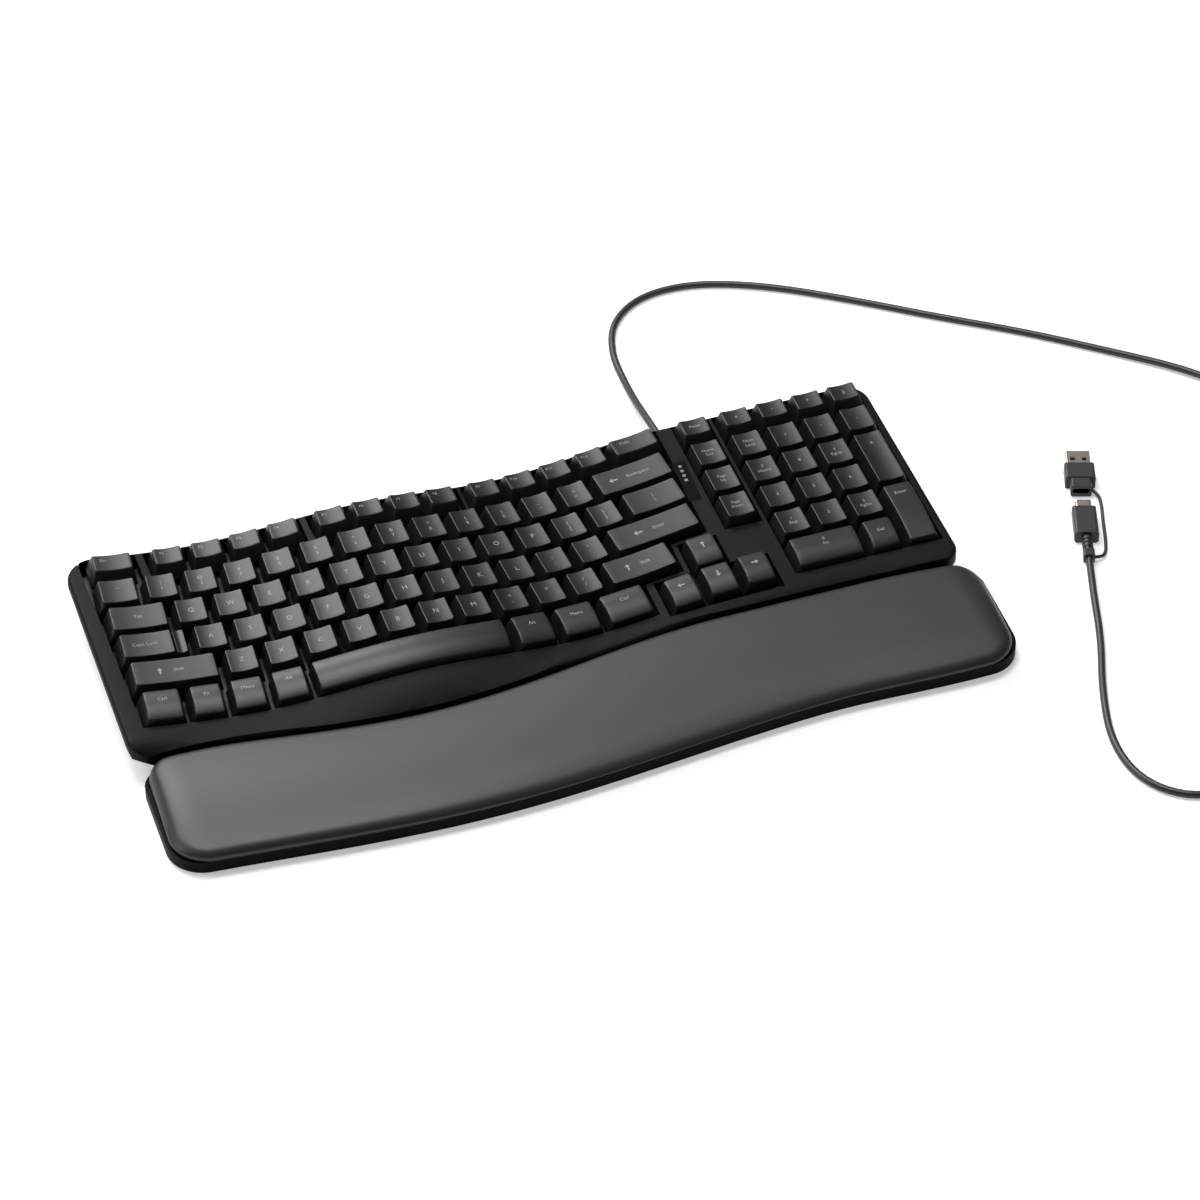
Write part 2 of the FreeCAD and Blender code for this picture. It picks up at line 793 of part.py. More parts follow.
def wells(margin):
    column_left = dim.navigation_x - dim.pad_pitch / 2
    half_arrow = dim.key_pitch / 2
    half_brow = dim.brow_depth / 2
    media_back = media_y + dim.function_depth / 2
    up = keyed["arrow_up_key"]
    left = keyed["arrow_left_key"]
    right = keyed["arrow_right_key"]
    arrows_front = left.y - half_brow
    arrows_back = right.y + half_brow
    turned = dim.arrow_well_gap
    half_function = dim.function_pitch / 2
    well_left = dim.block_left - dim.well_left_room
    function_ends = [(well_left, dim.escape_right)]
    for first in (dim.function_first, dim.function_second):
        function_ends.append((first - half_function, first + 3.5 * dim.function_pitch))
    function_ends.append((dim.function_third - half_function, launch_end))
    number_line = middle_of(row_n)
    parts = [block_well(start, end, number_line, row_f, margin) for start, end in function_ends]
    parts += [
        block_well(well_left, dim.block_right, row_a, row_n, margin),
        block_well(well_left, dim.shift_right, row_z, row_z, margin),
        block_well(well_left, dim.modifiers_right, row_b, middle_of(row_z), margin),
        box_well(
            up.x - half_arrow, up.x + half_arrow, up.y - 14.0, up.y + half_brow, margin, turned
        ),
        box_well(
            left.x - half_arrow, right.x + half_arrow, arrows_front, arrows_back, margin, turned
        ),
        box_well(column_left, column_left + dim.pad_pitch, pad_y(2.5), media_back, margin),
        box_well(pad_x(-0.5), pad_x(3.5), enter_front, media_back, margin),
    ]
    return parts[0].multiFuse(parts[1:])


keyed = {name: cells[0] for name, cells in keys.items()}
well_space = wells(0.0)
lip_space = wells(dim.well_lip)


# Screws hold the two halves of the case together; each runs up into a post

half_case = dim.case_width / 2
strip_post_shift = 4.6
case_posts = [
    (-178.0, seam(-178.0) + strip_post_shift + 0.6),
    (-62.0, seam(-62.0) + strip_post_shift + 3.0),
    (38.0, seam(38.0) + strip_post_shift),
    (160.0, seam(160.0) + strip_post_shift),
    (dim.window_x + 0.6, 32.0),
    (dim.window_x + 1.2, 88.0),
]


def pillars(places, radius, bottom, top):
    solids = [Part.makeCylinder(radius, top - bottom, V(x, y, bottom)) for x, y in places]
    return solids[0].multiFuse(solids[1:])


floor_top = dim.floor_bottom + dim.floor_thickness
screw_low = dim.floor_bottom + dim.screw_sink
screw_high = screw_low + dim.screw_head_height
case_base = dim.parting_height + dim.parting_gap


def window_block(sink, thickness, gap):
    """The status window, or with a gap its seat: a leaning strip on the case's surface."""
    width = dim.window_width + 2 * gap
    length = dim.window_length + 2 * gap
    strip = Part.makeBox(width, length, 2 * FAR, V(-width / 2, -length / 2, -FAR))
    lean = FreeCAD.Rotation(Z_AXIS, -dim.window_lean)
    strip.Placement = FreeCAD.Placement(V(dim.window_x, dim.window_y, 0), lean)
    return strip.common(wave_layer(dim.case_drop + sink, thickness))


# Top half of the case


def slope_start(x):
    """Where the case starts to fall towards the seam."""
    bulge = dim.slope_swell * swell(x, dim.seam_swell_at, dim.seam_swell_reach)
    return seam(x) + dim.slope_depth + bulge


def slope_section(x):
    """The air over the front slope at x, seen from the side: its lower edge falls away from the
    case's surface by a parabola that ends at the seam's height."""
    start = slope_start(x)
    edge = seam(x)
    fall = key_top(x, edge) - dim.case_drop - dim.seam_height
    length = start - edge
    bend = (fall - dim.slope_lead * length) / length**2

    def point(run):
        level = key_top(x, start - run) - dim.case_drop
        return V(x, start - run, level - dim.slope_lead * run - bend * run * abs(run))

    curve = smooth_edge([point(run) for run in (-3.0, 0.0, length / 2, length, length + 8.0)])
    behind = V(x, start + 3.0, FAR / 3)
    ahead = V(x, edge - 8.0, FAR / 3)
    edges = [
        curve,
        Part.makeLine(point(length + 8.0), ahead),
        Part.makeLine(ahead, behind),
        Part.makeLine(behind, point(-3.0)),
    ]
    return Part.Wire(edges)


def slope_air():
    sections = [slope_section(x) for x in stations(-half_case - 2, half_case + 2, 35.0)]
    return Part.makeLoft(sections, True, False)


def top_edges(solid):
    """Edges of the case's top face that lie on its outline, clear of the slope."""
    found = []
    for edge in solid.Edges:
        middle = edge.valueAt((edge.FirstParameter + edge.LastParameter) / 2)
        level = key_top(middle.x, middle.y) - dim.case_drop
        flat = abs(middle.z - level) < 0.05
        if flat and not is_upright(edge) and edge.Length > 3.0:
            if middle.y > slope_start(middle.x) + 2.0:
                found.append(edge)
    return found


outer = rounded_prism(case_outline(0.0), case_base, FAR / 5, case_corners, 0.0)
outer = outer.common(under_wave(dim.case_drop))
outer = outer.makeFillet(dim.case_rounding, top_edges(outer))
outer = tucked_in(outer.cut(slope_air()), 0.0)
inner = rounded_prism(case_outline(dim.case_wall), 0.0, FAR / 5, case_corners, dim.case_wall)
hollow = tucked_in(inner.common(under_wave(dim.case_drop + dim.case_skin)), dim.case_wall)
slope_skin = slope_air()
slope_skin.translate(V(0, 0, -dim.case_skin))
hollow = hollow.cut(slope_skin)
lips = lip_space.cut(under_wave(plate_drop - dim.seat_gap))
hollow = hollow.cut(lips).cut(pillars(case_posts, dim.post_radius, case_base, FAR / 5))
screw_holes = pillars(case_posts, dim.screw_radius, 0.0, case_base + 3.0)
window_seat = window_block(-1.0, 1.0 + dim.window_thickness, dim.window_seat_gap)
gland_hole = Part.makeCylinder(
    dim.gland_radius + 0.1, 20.0, V(dim.cord_exit_x, 90.0, dim.cord_exit_height), Y_AXIS
)
top_case = outer.cut(hollow).cut(well_space)
top_case = top_case.cut(screw_holes).cut(window_seat).cut(gland_hole)
add_shape("top_case", top_case)


# Bottom half of the case: a tray with bosses for the screws and pockets for the feet

boss_radius = dim.post_radius + dim.boss_wall
tray_inset = dim.case_tuck + dim.case_wall
foot_hinge_z = dim.floor_bottom + dim.foot_thickness / 2 + 0.3
pocket_top = foot_hinge_z + dim.foot_thickness / 2 + dim.foot_clearance
pocket_span = dim.foot_span + 2 * dim.foot_clearance
pocket_reach = dim.foot_reach + dim.foot_thickness / 2 + 2 * dim.foot_clearance
pocket_front = dim.foot_hinge_y - dim.foot_reach - dim.foot_clearance
feet = {"left": -dim.foot_x, "right": dim.foot_x}
case_pads = [(-176.0, 6.0), (176.0, 6.0), (-180.0, 84.0), (180.0, 84.0)]
rest_pads = [(-176.0, -80.0), (-60.0, -90.0), (60.0, -84.0), (176.0, -82.0)]


def pocket_block(middle_x, margin):
    """The pocket of a tilt foot, or the block around it where margin is the wall."""
    span = pocket_span + 2 * margin
    reach = pocket_reach + 2 * margin
    bottom = dim.floor_bottom - (0.0 if margin else 5.0)
    top = pocket_top + (dim.foot_pocket_wall / 2 if margin else 0.0)
    corner = V(middle_x - span / 2, pocket_front - margin, bottom)
    return Part.makeBox(span, reach, top - bottom, corner)


def pad_box(place, clearance, height):
    """A stadium-shaped pad lying along X, from the desk up."""
    x, y = place
    width = dim.pad_width + 2 * clearance
    straight = dim.pad_length - dim.pad_width
    bar = Part.makeBox(straight, width, height, V(x - straight / 2, y - width / 2, 0))
    ends = [Part.makeCylinder(width / 2, height, V(x + side * straight / 2, y, 0)) for side in (-1, 1)]
    return bar.multiFuse(ends).removeSplitter()


def pads_over(places, clearance, height):
    return [pad_box(place, clearance, height) for place in places]


stack_base = stack_drop + dim.seat_gap
boss_inset = dim.case_wall + 2 * dim.parting_gap
boss_room = rounded_prism(
    case_outline(boss_inset), 0.0, FAR / 5, case_corners, boss_inset
)
boss_room = tucked_in(boss_room.common(under_wave(stack_base)), boss_inset)
bosses = pillars(case_posts, boss_radius, floor_top - 0.5, FAR / 5).common(boss_room)
post_room = pillars(case_posts, dim.post_radius + dim.seat_gap, case_base - 0.2, FAR / 5)
board_x = dim.cord_exit_x - 24.0
board_y = 74.0
board_length = 60.0
board_depth = 18.0
board_posts = [(board_x + x, board_y + y) for x in (-26, 26) for y in (-5, 5)]
board_level = 6.0

tray = rounded_prism(
    case_outline(dim.case_tuck),
    dim.floor_bottom,
    dim.parting_height,
    case_corners,
    dim.case_tuck,
)
tray_room = rounded_prism(
    case_outline(tray_inset), floor_top, FAR / 5, case_corners, tray_inset
)
bottom_case = tucked_in(tray, dim.case_tuck).cut(tucked_in(tray_room, tray_inset))
bottom_case = bottom_case.multiFuse([pocket_block(x, dim.foot_pocket_wall) for x in feet.values()])
bottom_case = bottom_case.multiFuse([bosses.cut(post_room)])
bottom_case = bottom_case.multiFuse([pillars(board_posts, 2.0, floor_top - 0.5, board_level)])
cuts = [pocket_block(x, 0.0) for x in feet.values()]
pin_radius = dim.foot_pin_radius + dim.foot_pin_clearance
pin_reach = pocket_span + 2 * (dim.foot_pin_length - dim.foot_clearance + 0.1)
for x in feet.values():
    start = V(x - pin_reach / 2, dim.foot_hinge_y, foot_hinge_z)
    cuts.append(Part.makeCylinder(pin_radius, pin_reach, start, X_AXIS))
cuts += pads_over(case_pads, 0.1, dim.floor_bottom + dim.pad_seat)
cuts.append(pillars(case_posts, dim.screw_radius + dim.seat_gap, 0.0, FAR / 5))
cuts.append(pillars(case_posts, dim.screw_head_radius + dim.seat_gap, 0.0, screw_high))
bottom_case = bottom_case.cut(cuts[0].multiFuse(cuts[1:]))
add_shape("bottom_case", bottom_case)

screw_top = case_base + 2.5
screws = pillars(case_posts, dim.screw_head_radius, screw_low, screw_high)
screws = screws.fuse(pillars(case_posts, dim.screw_radius, dim.floor_bottom + 1.0, screw_top))
add_shape("case_screws", screws)


# Plates below the keys, cut around the posts

plate_inset = tray_inset + dim.plate_side_gap
plate_prism = rounded_prism(
    case_outline(plate_inset), 0.0, FAR / 5, case_corners, plate_inset
)
plate_prism = plate_prism.cut(pillars(case_posts, dim.post_radius + dim.post_clearance, 0, FAR / 5))
slope_below = slope_air()
slope_below.translate(V(0, 0, -plate_drop + dim.case_drop))
plate_prism = tucked_in(plate_prism.cut(slope_below), plate_inset)


def square_tower(cell, side, top, bottom):
    tower = square_post(side, -top, -bottom)
    tower.Placement = key_frame(cell)
    return tower


hole_side = dim.stem_side + 2 * dim.stem_clearance
chimney_side = hole_side + 2 * dim.chimney_wall
chimney_top = plate_drop - dim.chimney_height
chimneys = [
    square_tower(cell, chimney_side, chimney_top, plate_drop + 0.6) for cell in all_cells
]
holes = [square_tower(cell, hole_side, 0.0, plate_drop + 4.0) for cell in all_cells]
guide_plate = plate_prism.common(wave_layer(plate_drop, dim.plate_thickness))
guide_plate = guide_plate.multiFuse(chimneys).cut(Part.makeCompound(holes))
add_shape("key_guide_plate", guide_plate)


def dome(cell):
    """The rubber dome under a key, drawn at the height it has when pressed."""
    solid = Part.makeCylinder(dim.dome_radius, 4.0, V(0, 0, -dome_sheet_drop - 2.0))
    solid.Placement = key_frame(cell)
    return solid


dome_sheet = plate_prism.common(wave_layer(dome_sheet_drop, dim.dome_sheet_thickness))
dome_layer = wave_layer(
    dome_sheet_drop - dim.dome_height, dim.dome_height + dim.dome_sheet_thickness / 2
)
domes = Part.makeCompound([dome(cell) for cell in all_cells]).common(dome_layer)
dome_sheet = dome_sheet.multiFuse(domes.Solids)
add_shape("rubber_dome_sheet", dome_sheet)
add_shape("membrane_circuit", plate_prism.common(wave_layer(membrane_drop, dim.membrane_thickness)))
add_shape("backing_plate", plate_prism.common(wave_layer(backing_drop, dim.backing_thickness)))


# Controller board on its four posts, with the chip and the socket of the cord's leads

board_corner = V(board_x - board_length / 2, board_y - board_depth / 2, board_level)
board_top = board_level + 1.6
add_shape("controller_board", Part.makeBox(board_length, board_depth, 1.6, board_corner))
chip = Part.makeBox(7.0, 7.0, 1.0, V(board_x - 8.0, board_y - 4.0, board_top))
socket = Part.makeBox(10.0, 4.5, 3.6, V(board_x + 12.0, board_y + 3.0, board_top))
add_shape("board_parts", Part.makeCompound([chip, socket]))


# Status window with four small lights let into its back half

window = window_block(0.0, dim.window_thickness - 0.05, 0.0)
light_drop = 0.5


def light_block(index, gap):
    side = dim.light_side + 2 * gap
    block = Part.makeBox(side, side, 2 * FAR, V(-side / 2, dim.light_first - side / 2, -FAR))
    block.translate(V(0, -dim.light_pitch * index, 0))
    lean = FreeCAD.Rotation(Z_AXIS, -dim.window_lean)
    block.Placement = FreeCAD.Placement(V(dim.window_x, dim.window_y, 0), lean).multiply(
        block.Placement
    )
    return block


light_cuts = [light_block(index, 0.03) for index in range(4)]
light_layer = wave_layer(dim.case_drop - 0.05, light_drop)
light_seats = Part.makeCompound(light_cuts).common(
    wave_layer(dim.case_drop - 1.0, 1.0 + light_drop)
)
window = window.cut(light_seats)
add_shape("status_window", window)
lights = Part.makeCompound([light_block(index, 0.0) for index in range(4)]).common(light_layer)
add_shape("status_lights", lights)


# Rubber pads under the case and the wrist rest

pad_thickness = dim.floor_bottom + dim.pad_seat
rubber = pads_over(case_pads + rest_pads, 0.0, pad_thickness)
add_shape("rubber_pads", Part.makeCompound(rubber))


# Tilt feet, folded into their pockets; each turns on two pins moulded to its sides

for side, x in feet.items():
    reach = dim.foot_reach - dim.foot_tip_thickness
    low = foot_hinge_z - dim.foot_thickness / 2
    corner = V(x - dim.foot_span / 2, dim.foot_hinge_y - reach, low)
    leaf = Part.makeBox(dim.foot_span, reach, dim.foot_thickness, corner)
    axle_start = V(x - dim.foot_span / 2, dim.foot_hinge_y, foot_hinge_z)
    barrel = Part.makeCylinder(dim.foot_thickness / 2, dim.foot_span, axle_start, X_AXIS)
    pin_start = V(x - dim.foot_span / 2 - dim.foot_pin_length, dim.foot_hinge_y, foot_hinge_z)
    pin_span = dim.foot_span + 2 * dim.foot_pin_length
    pin = Part.makeCylinder(dim.foot_pin_radius, pin_span, pin_start, X_AXIS)
    add_shape(f"tilt_foot_{side}", leaf.multiFuse([barrel, pin]))
    grip = doc.addObject("Part::Box", f"tilt_foot_grip_{side}")
    grip.Label = grip.Name
    grip.setExpression("Length", "Sizes.foot_span - 4")
    grip.setExpression("Width", "Sizes.foot_tip_thickness")
    grip.setExpression("Height", "Sizes.foot_thickness")
    grip.Placement.Base = V(x - dim.foot_span / 2 + 2.0, dim.foot_hinge_y - dim.foot_reach, low)
    nodes[grip.Name] = grip


# Wrist rest: a tray, a stiff board in it, and the padded cushion on top

rest_inner = dim.rest_wall + dim.rest_gap
board_bottom = dim.rest_base_height - dim.rest_board_thickness
rest_tray = rounded_prism(
    rest_outline(0.0), dim.floor_bottom, dim.rest_base_height, rest_corners, 0.0
)
rest_room = rounded_prism(
    rest_outline(dim.rest_wall), floor_top, FAR / 5, rest_corners, dim.rest_wall
)
rest_screw_places = [(x, seam(x) - 33.0) for x in (-150.0, -50.0, 50.0, 150.0)]
ribs = [
    Part.makeBox(2.0, 150.0, board_bottom - floor_top + 0.5, V(x - 1.0, -150.0, floor_top - 0.5))
    for x in (-120.0, -85.0, -15.0, 15.0, 85.0, 120.0)
]
rest_support = ribs[0].multiFuse(ribs[1:]).common(rest_room.fuse(rest_tray))
rest_bosses = pillars(rest_screw_places, boss_radius, floor_top - 0.5, board_bottom)
rest_cuts = pads_over(rest_pads, 0.1, dim.floor_bottom + dim.pad_seat)
rest_cuts.append(pillars(rest_screw_places, dim.screw_radius + dim.seat_gap, 0.0, FAR / 5))
rest_cuts.append(
    pillars(rest_screw_places, dim.screw_head_radius + dim.seat_gap, 0.0, screw_high)
)
rest_base = rest_tray.cut(rest_room).multiFuse([rest_support, rest_bosses])
add_shape("wrist_rest_base", rest_base.cut(rest_cuts[0].multiFuse(rest_cuts[1:])))

rest_board = rounded_prism(
    rest_outline(rest_inner), board_bottom, dim.rest_base_height, rest_corners, rest_inner
)
rest_board = rest_board.cut(pillars(rest_screw_places, dim.screw_radius, 0.0, board_bottom + 1.8))
add_shape("wrist_rest_board", rest_board)
rest_screws = pillars(
    rest_screw_places, dim.screw_head_radius, screw_low, screw_high
)
rest_screws = rest_screws.fuse(
    pillars(rest_screw_places, dim.screw_radius, dim.floor_bottom + 1.0, board_bottom + 1.8)
)
add_shape("wrist_rest_screws", rest_screws)


def cushion_front(x):
    """Front of the cushion, a little ahead of the base below it."""
    return front_edge(x) - dim.cushion_overhang


def cushion_section(x, share):
    """Side view of the cushion at x; share squeezes its height, for the rounded ends."""
    drawn_in = 0.7
    front_round = 3.5
    back_round = 2.5
    front = cushion_front(x)
    back = seam(x) - dim.rest_gap
    low = dim.rest_base_height

    def point(y, height):
        return V(x, y, low + share * (height - low))

    front_top = dim.rest_front_height
    back_top = dim.seam_height - 1.0
    turn = 1 - math.sqrt(0.5)
    points = [
        point(front + drawn_in, low),
        point(front, front_top - front_round),
        point(front + turn * front_round, front_top - turn * front_round),
        point(front + front_round, front_top),
        point((front + back) / 2, (front_top + back_top) / 2 + dim.rest_crown),
        point(back - back_round, back_top),
        point(back - turn * back_round, back_top - turn * back_round),
        point(back, back_top - back_round),
        point(back - drawn_in, low),
    ]
    edges = [
        Part.makeLine(points[0], points[1]),
        Part.Arc(points[1], points[2], points[3]).toShape(),
        Part.Arc(points[3], points[4], points[5]).toShape(),
        Part.Arc(points[5], points[6], points[7]).toShape(),
        Part.makeLine(points[7], points[8]),
        Part.makeLine(points[8], points[0]),
    ]
    return Part.Wire(edges)


cushion_left = dim.rest_left_front + dim.cushion_side_inset - 0.5
cushion_right = dim.rest_right_back - dim.cushion_side_inset + 0.5
cushion_ends = [(0.0, 0.4), (2.0, 0.68), (5.0, 0.86), (10.0, 0.97), (18.0, 1.0)]
left_sections = [cushion_section(cushion_left + inset, share) for inset, share in cushion_ends]
right_sections = [cushion_section(cushion_right - inset, share) for inset, share in cushion_ends[::-1]]
middle_places = stations(cushion_left + 18.0, cushion_right - 18.0, 30.0)[1:-1]
middle_sections = [cushion_section(x, 1.0) for x in middle_places]
cushion = Part.makeLoft(left_sections + middle_sections + right_sections, True, False)
cushion_outline = plan_outline(
    lambda x: cushion_front(x) - dim.cushion_side_inset,
    lambda x: seam(x) - dim.rest_gap + dim.cushion_side_inset,
    rest_left,
    rest_right,
    dim.cushion_side_inset,
)
cushion_plan = rounded_prism(cushion_outline, 0.0, FAR / 5, rest_corners, dim.cushion_side_inset)
add_shape("wrist_rest_cushion", cushion.common(cushion_plan))


# Gland where the cord leaves the back of the case: a flange inside, a tapering sleeve outside

wall_outside = back_edge(dim.cord_exit_x)
gland_end = wall_outside + dim.gland_length
flange_start = wall_outside - dim.case_wall - 1.4


def along_y(x, height, start, end, radius, end_radius=None):
    """A round piece along Y, tapering where end_radius is given."""
    base = V(x, start, height)
    if end_radius is None:
        return Part.makeCylinder(radius, end - start, base, Y_AXIS)
    return Part.makeCone(radius, end_radius, end - start, base, Y_AXIS)


exit_at = (dim.cord_exit_x, dim.cord_exit_height)
gland = along_y(*exit_at, flange_start, flange_start + 1.3, dim.gland_radius + 1.3)
gland = gland.multiFuse([
    along_y(*exit_at, flange_start, wall_outside + 1.0, dim.gland_radius),
    along_y(*exit_at, wall_outside + 1.0, gland_end, dim.gland_radius, cord_radius + 0.25),
])
add_shape("cord_gland", gland)


# Cord: straight runs joined by arcs; a bundle of wound turns; then the way to the plug


def rounded_path(points, label):
    """Runs through the points with an arc at each corner, tangent to both runs."""
    edges = []
    start = points[0]
    tightest = FAR
    for before, corner, after in zip(points, points[1:], points[2:]):
        back = (before - corner).normalize()
        ahead = (after - corner).normalize()
        turn = math.pi - back.getAngle(ahead)
        trim = 0.45 * min(before.distanceToPoint(corner), after.distanceToPoint(corner))
        radius = trim / math.tan(turn / 2)
        tightest = min(tightest, radius)
        inward = (back + ahead).normalize()
        middle = corner + inward * (radius / math.cos(turn / 2) - radius)
        first = corner + back * trim
        last = corner + ahead * trim
        edges.append(Part.LineSegment(start, first).toShape())
        edges.append(Part.Arc(first, middle, last).toShape())
        start = last
    edges.append(Part.LineSegment(start, points[-1]).toShape())
    print(label, "smallest bend radius", round(tightest, 1))
    return Part.Wire(edges)


def tube(path, radius, label):
    """A round cord along a path; its volume is compared with its section times its length."""
    first = path.Edges[0]
    start = first.valueAt(first.FirstParameter)
    heading = first.tangentAt(first.FirstParameter)
    ring = Part.Wire(Part.Circle(start, heading, radius).toShape())
    solid = path.makePipeShell([ring], True, False)
    full = math.pi * radius**2 * path.Length
    print(label, "length", round(path.Length, 1), "volume ratio", round(solid.Volume / full, 4))
    return solid


coil_centre = V(423.0, 65.0, 0)
coil_outer = 25.5
coil_pitch = 4.15
coil_dip = 0.4
coil_start = 215.2
coil_end = 1600.0
coil_middle = (coil_start + coil_end) / 2
tie_thickness = 0.6
coil_low = tie_thickness + 0.3 + cord_radius


def coil_point(angle):
    """Place on the wound cord: it spirals in on the lower layer, climbs, and spirals out above."""
    offset = angle - coil_middle
    if abs(offset) >= 90:
        turns = min(angle - coil_start, coil_end - angle) / 360
        radius = coil_outer - coil_pitch * turns
        climb = 0.0 if offset < 0 else 1.0
    else:
        edge_turns = ((coil_end - coil_start) / 2 - 90) / 360
        slope = coil_pitch / 360
        radius = coil_outer - coil_pitch * edge_turns - slope * (90 - offset**2 / 90) / 2
        radius -= coil_dip * math.cos(math.radians(offset)) ** 2
        climb = (1 - math.cos(math.radians(offset + 90))) / 2
    turned = math.radians(angle)
    reach = V(radius * math.cos(turned), radius * math.sin(turned), coil_low + coil_pitch * climb)
    return coil_centre + reach


def coil_heading(angle):
    return (coil_point(angle + 0.05) - coil_point(angle - 0.05)).normalize()


def biarc(start, start_heading, end, end_heading):
    """Two arcs that join two places with the headings given."""
    reach = end - start
    both = start_heading + end_heading
    spread = 2 * (1 - start_heading * end_heading)
    lean = reach * both
    step = (-lean + math.sqrt(lean**2 + spread * (reach * reach))) / spread
    joint = (start + start_heading * step + end - end_heading * step) * 0.5
    first = Part.Arc(start, joint_middle(start, start_heading, joint), joint)
    last = Part.Arc(joint, joint_middle(end, end_heading * -1, joint), end)
    return [first.toShape(), last.toShape()]


def joint_middle(place, heading, far_place):
    """Middle of the arc that leaves place along heading and ends at far_place."""
    chord = far_place - place
    bend = heading.getAngle(chord)
    side = (heading - chord * ((heading * chord) / (chord * chord))).normalize()
    sagitta = chord.Length / 2 * math.tan(bend / 2)
    return place + chord * 0.5 + side * sagitta


coil_span = coil_end - coil_start
quarter_count = 2 * round(coil_span / 180)
coil_angles = [coil_start + coil_span * index / quarter_count for index in range(quarter_count + 1)]
coil_edges = []
for before, after in zip(coil_angles, coil_angles[1:]):
    coil_edges += biarc(
        coil_point(before), coil_heading(before), coil_point(after), coil_heading(after)
    )
coil_entry = coil_point(coil_start)
coil_exit = coil_point(coil_end)
entry_heading = coil_heading(coil_start + 0.1)
exit_heading = coil_heading(coil_end - 0.1)
end_run = dim.cord_diameter
coil_edges.insert(0, Part.LineSegment(coil_entry - entry_heading * end_run, coil_entry).toShape())
coil_edges.append(Part.LineSegment(coil_exit, coil_exit + exit_heading * end_run).toShape())
coil_path = Part.Wire(coil_edges)


def own_gap(path, radius):
    """Least gap between parts of the winding that are more than a quarter turn apart."""
    places = path.discretize(Distance=1.5)
    least = FAR
    for index, place in enumerate(places):
        for other in places[index + 16:]:
            least = min(least, place.distanceToPoint(other) - 2 * radius)
    return least


print("coil least gap to itself", round(own_gap(coil_path, cord_radius), 2))

rest_level = cord_radius + 0.05
lead_end = coil_entry - entry_heading * end_run
lead_points = [
    V(dim.cord_exit_x, gland_end, dim.cord_exit_height),
    V(dim.cord_exit_x, gland_end + 18.0, dim.cord_exit_height - 1.6),
    V(104.2, 150.0, 6.2),
    V(106.2, 172.0, rest_level + 0.2),
    V(108.0, 196.0, rest_level),
    V(117.0, 220.0, rest_level),
    V(138.0, 236.0, rest_level),
    V(168.0, 237.0, rest_level),
    V(203.0, 222.0, rest_level),
    V(240.0, 196.0, rest_level),
    V(277.0, 167.0, rest_level),
    V(313.0, 141.0, rest_level),
    V(346.0, 113.0, rest_level),
    lead_end - entry_heading * 36.0,
    lead_end,
]
cord_lead = tube(rounded_path(lead_points, "cord_lead"), cord_radius, "cord_lead")
add_shape("cord_lead", cord_lead.cut(gland))
add_shape("cord_coil", tube(coil_path, cord_radius, "cord_coil"))

heading_turn = math.radians(dim.plug_heading)
plug_ahead = V(math.cos(heading_turn), math.sin(heading_turn), 0)
plug_side = V(plug_ahead.y, -plug_ahead.x, 0)
plug_tip = V(dim.plug_tip_x, dim.plug_tip_y, dim.plug_axis_height)


def plug_place(back, side=0.0, height=None):
    """A place beside the plug: back from the tip, to the side, and at a height over the desk."""
    place = plug_tip - plug_ahead * back + plug_side * side
    return V(place.x, place.y, dim.plug_axis_height if height is None else height)


collar_end = 79.5
tail_start = coil_exit + exit_heading * end_run
tail_points = [
    tail_start,
    tail_start + exit_heading * 15.0,
    V(386.0, 38.0, 5.2),
    V(377.5, 14.0, rest_level + 0.1),
    V(363.0, -27.0, rest_level),
    V(345.0, -71.0, rest_level),
    V(331.0, -112.0, rest_level),
    V(315.0, -153.0, rest_level),
    V(298.0, -184.0, rest_level),
    V(275.0, -203.0, rest_level),
    V(249.0, -205.0, rest_level),
    V(230.0, -187.0, rest_level),
    V(227.0, -158.0, rest_level),
    V(238.0, -123.0, rest_level),
    plug_place(collar_end + 56.0, 1.5, rest_level + 0.1),
    plug_place(collar_end + 26.0),
    plug_place(collar_end),
]
cord_tail = tube(rounded_path(tail_points, "cord_tail"), cord_radius, "cord_tail")
add_shape("cord_tail", cord_tail)

bundle_inner = coil_outer - coil_pitch * 1.5 - cord_radius - 0.2
bundle_outer = coil_outer + cord_radius + 0.1
bundle_top = coil_low + coil_pitch + cord_radius + 0.15
tie_width = 6.0
tie_inside = Part.makeBox(
    bundle_outer - bundle_inner,
    tie_width,
    bundle_top - tie_thickness,
    V(coil_centre.x + bundle_inner, coil_centre.y - tie_width / 2, tie_thickness),
)
tie_outside = Part.makeBox(
    bundle_outer - bundle_inner + 2 * tie_thickness,
    tie_width,
    bundle_top + tie_thickness,
    V(coil_centre.x + bundle_inner - tie_thickness, coil_centre.y - tie_width / 2, 0),
)
add_shape("coil_tie", tie_outside.cut(tie_inside))


# Plug, its strain relief, and the adapter that hangs on a short tether


def plug_bar(start, end, width, height, corner):
    """A bar of rounded section along the plug's axis, between two places back from the tip."""
    block = Part.makeBox(end - start, width, height, V(0, -width / 2, -height / 2))
    long_edges = [edge for edge in block.Edges if abs(edge.tangentAt(0).x) > 0.99]
    block = block.makeFillet(corner, long_edges)
    block.Placement = FreeCAD.Placement(
        plug_place(end), FreeCAD.Rotation(Z_AXIS, dim.plug_heading)
    )
    return block


def plug_rod(start, end, radius):
    return Part.makeCylinder(radius, end - start, plug_place(end), plug_ahead)


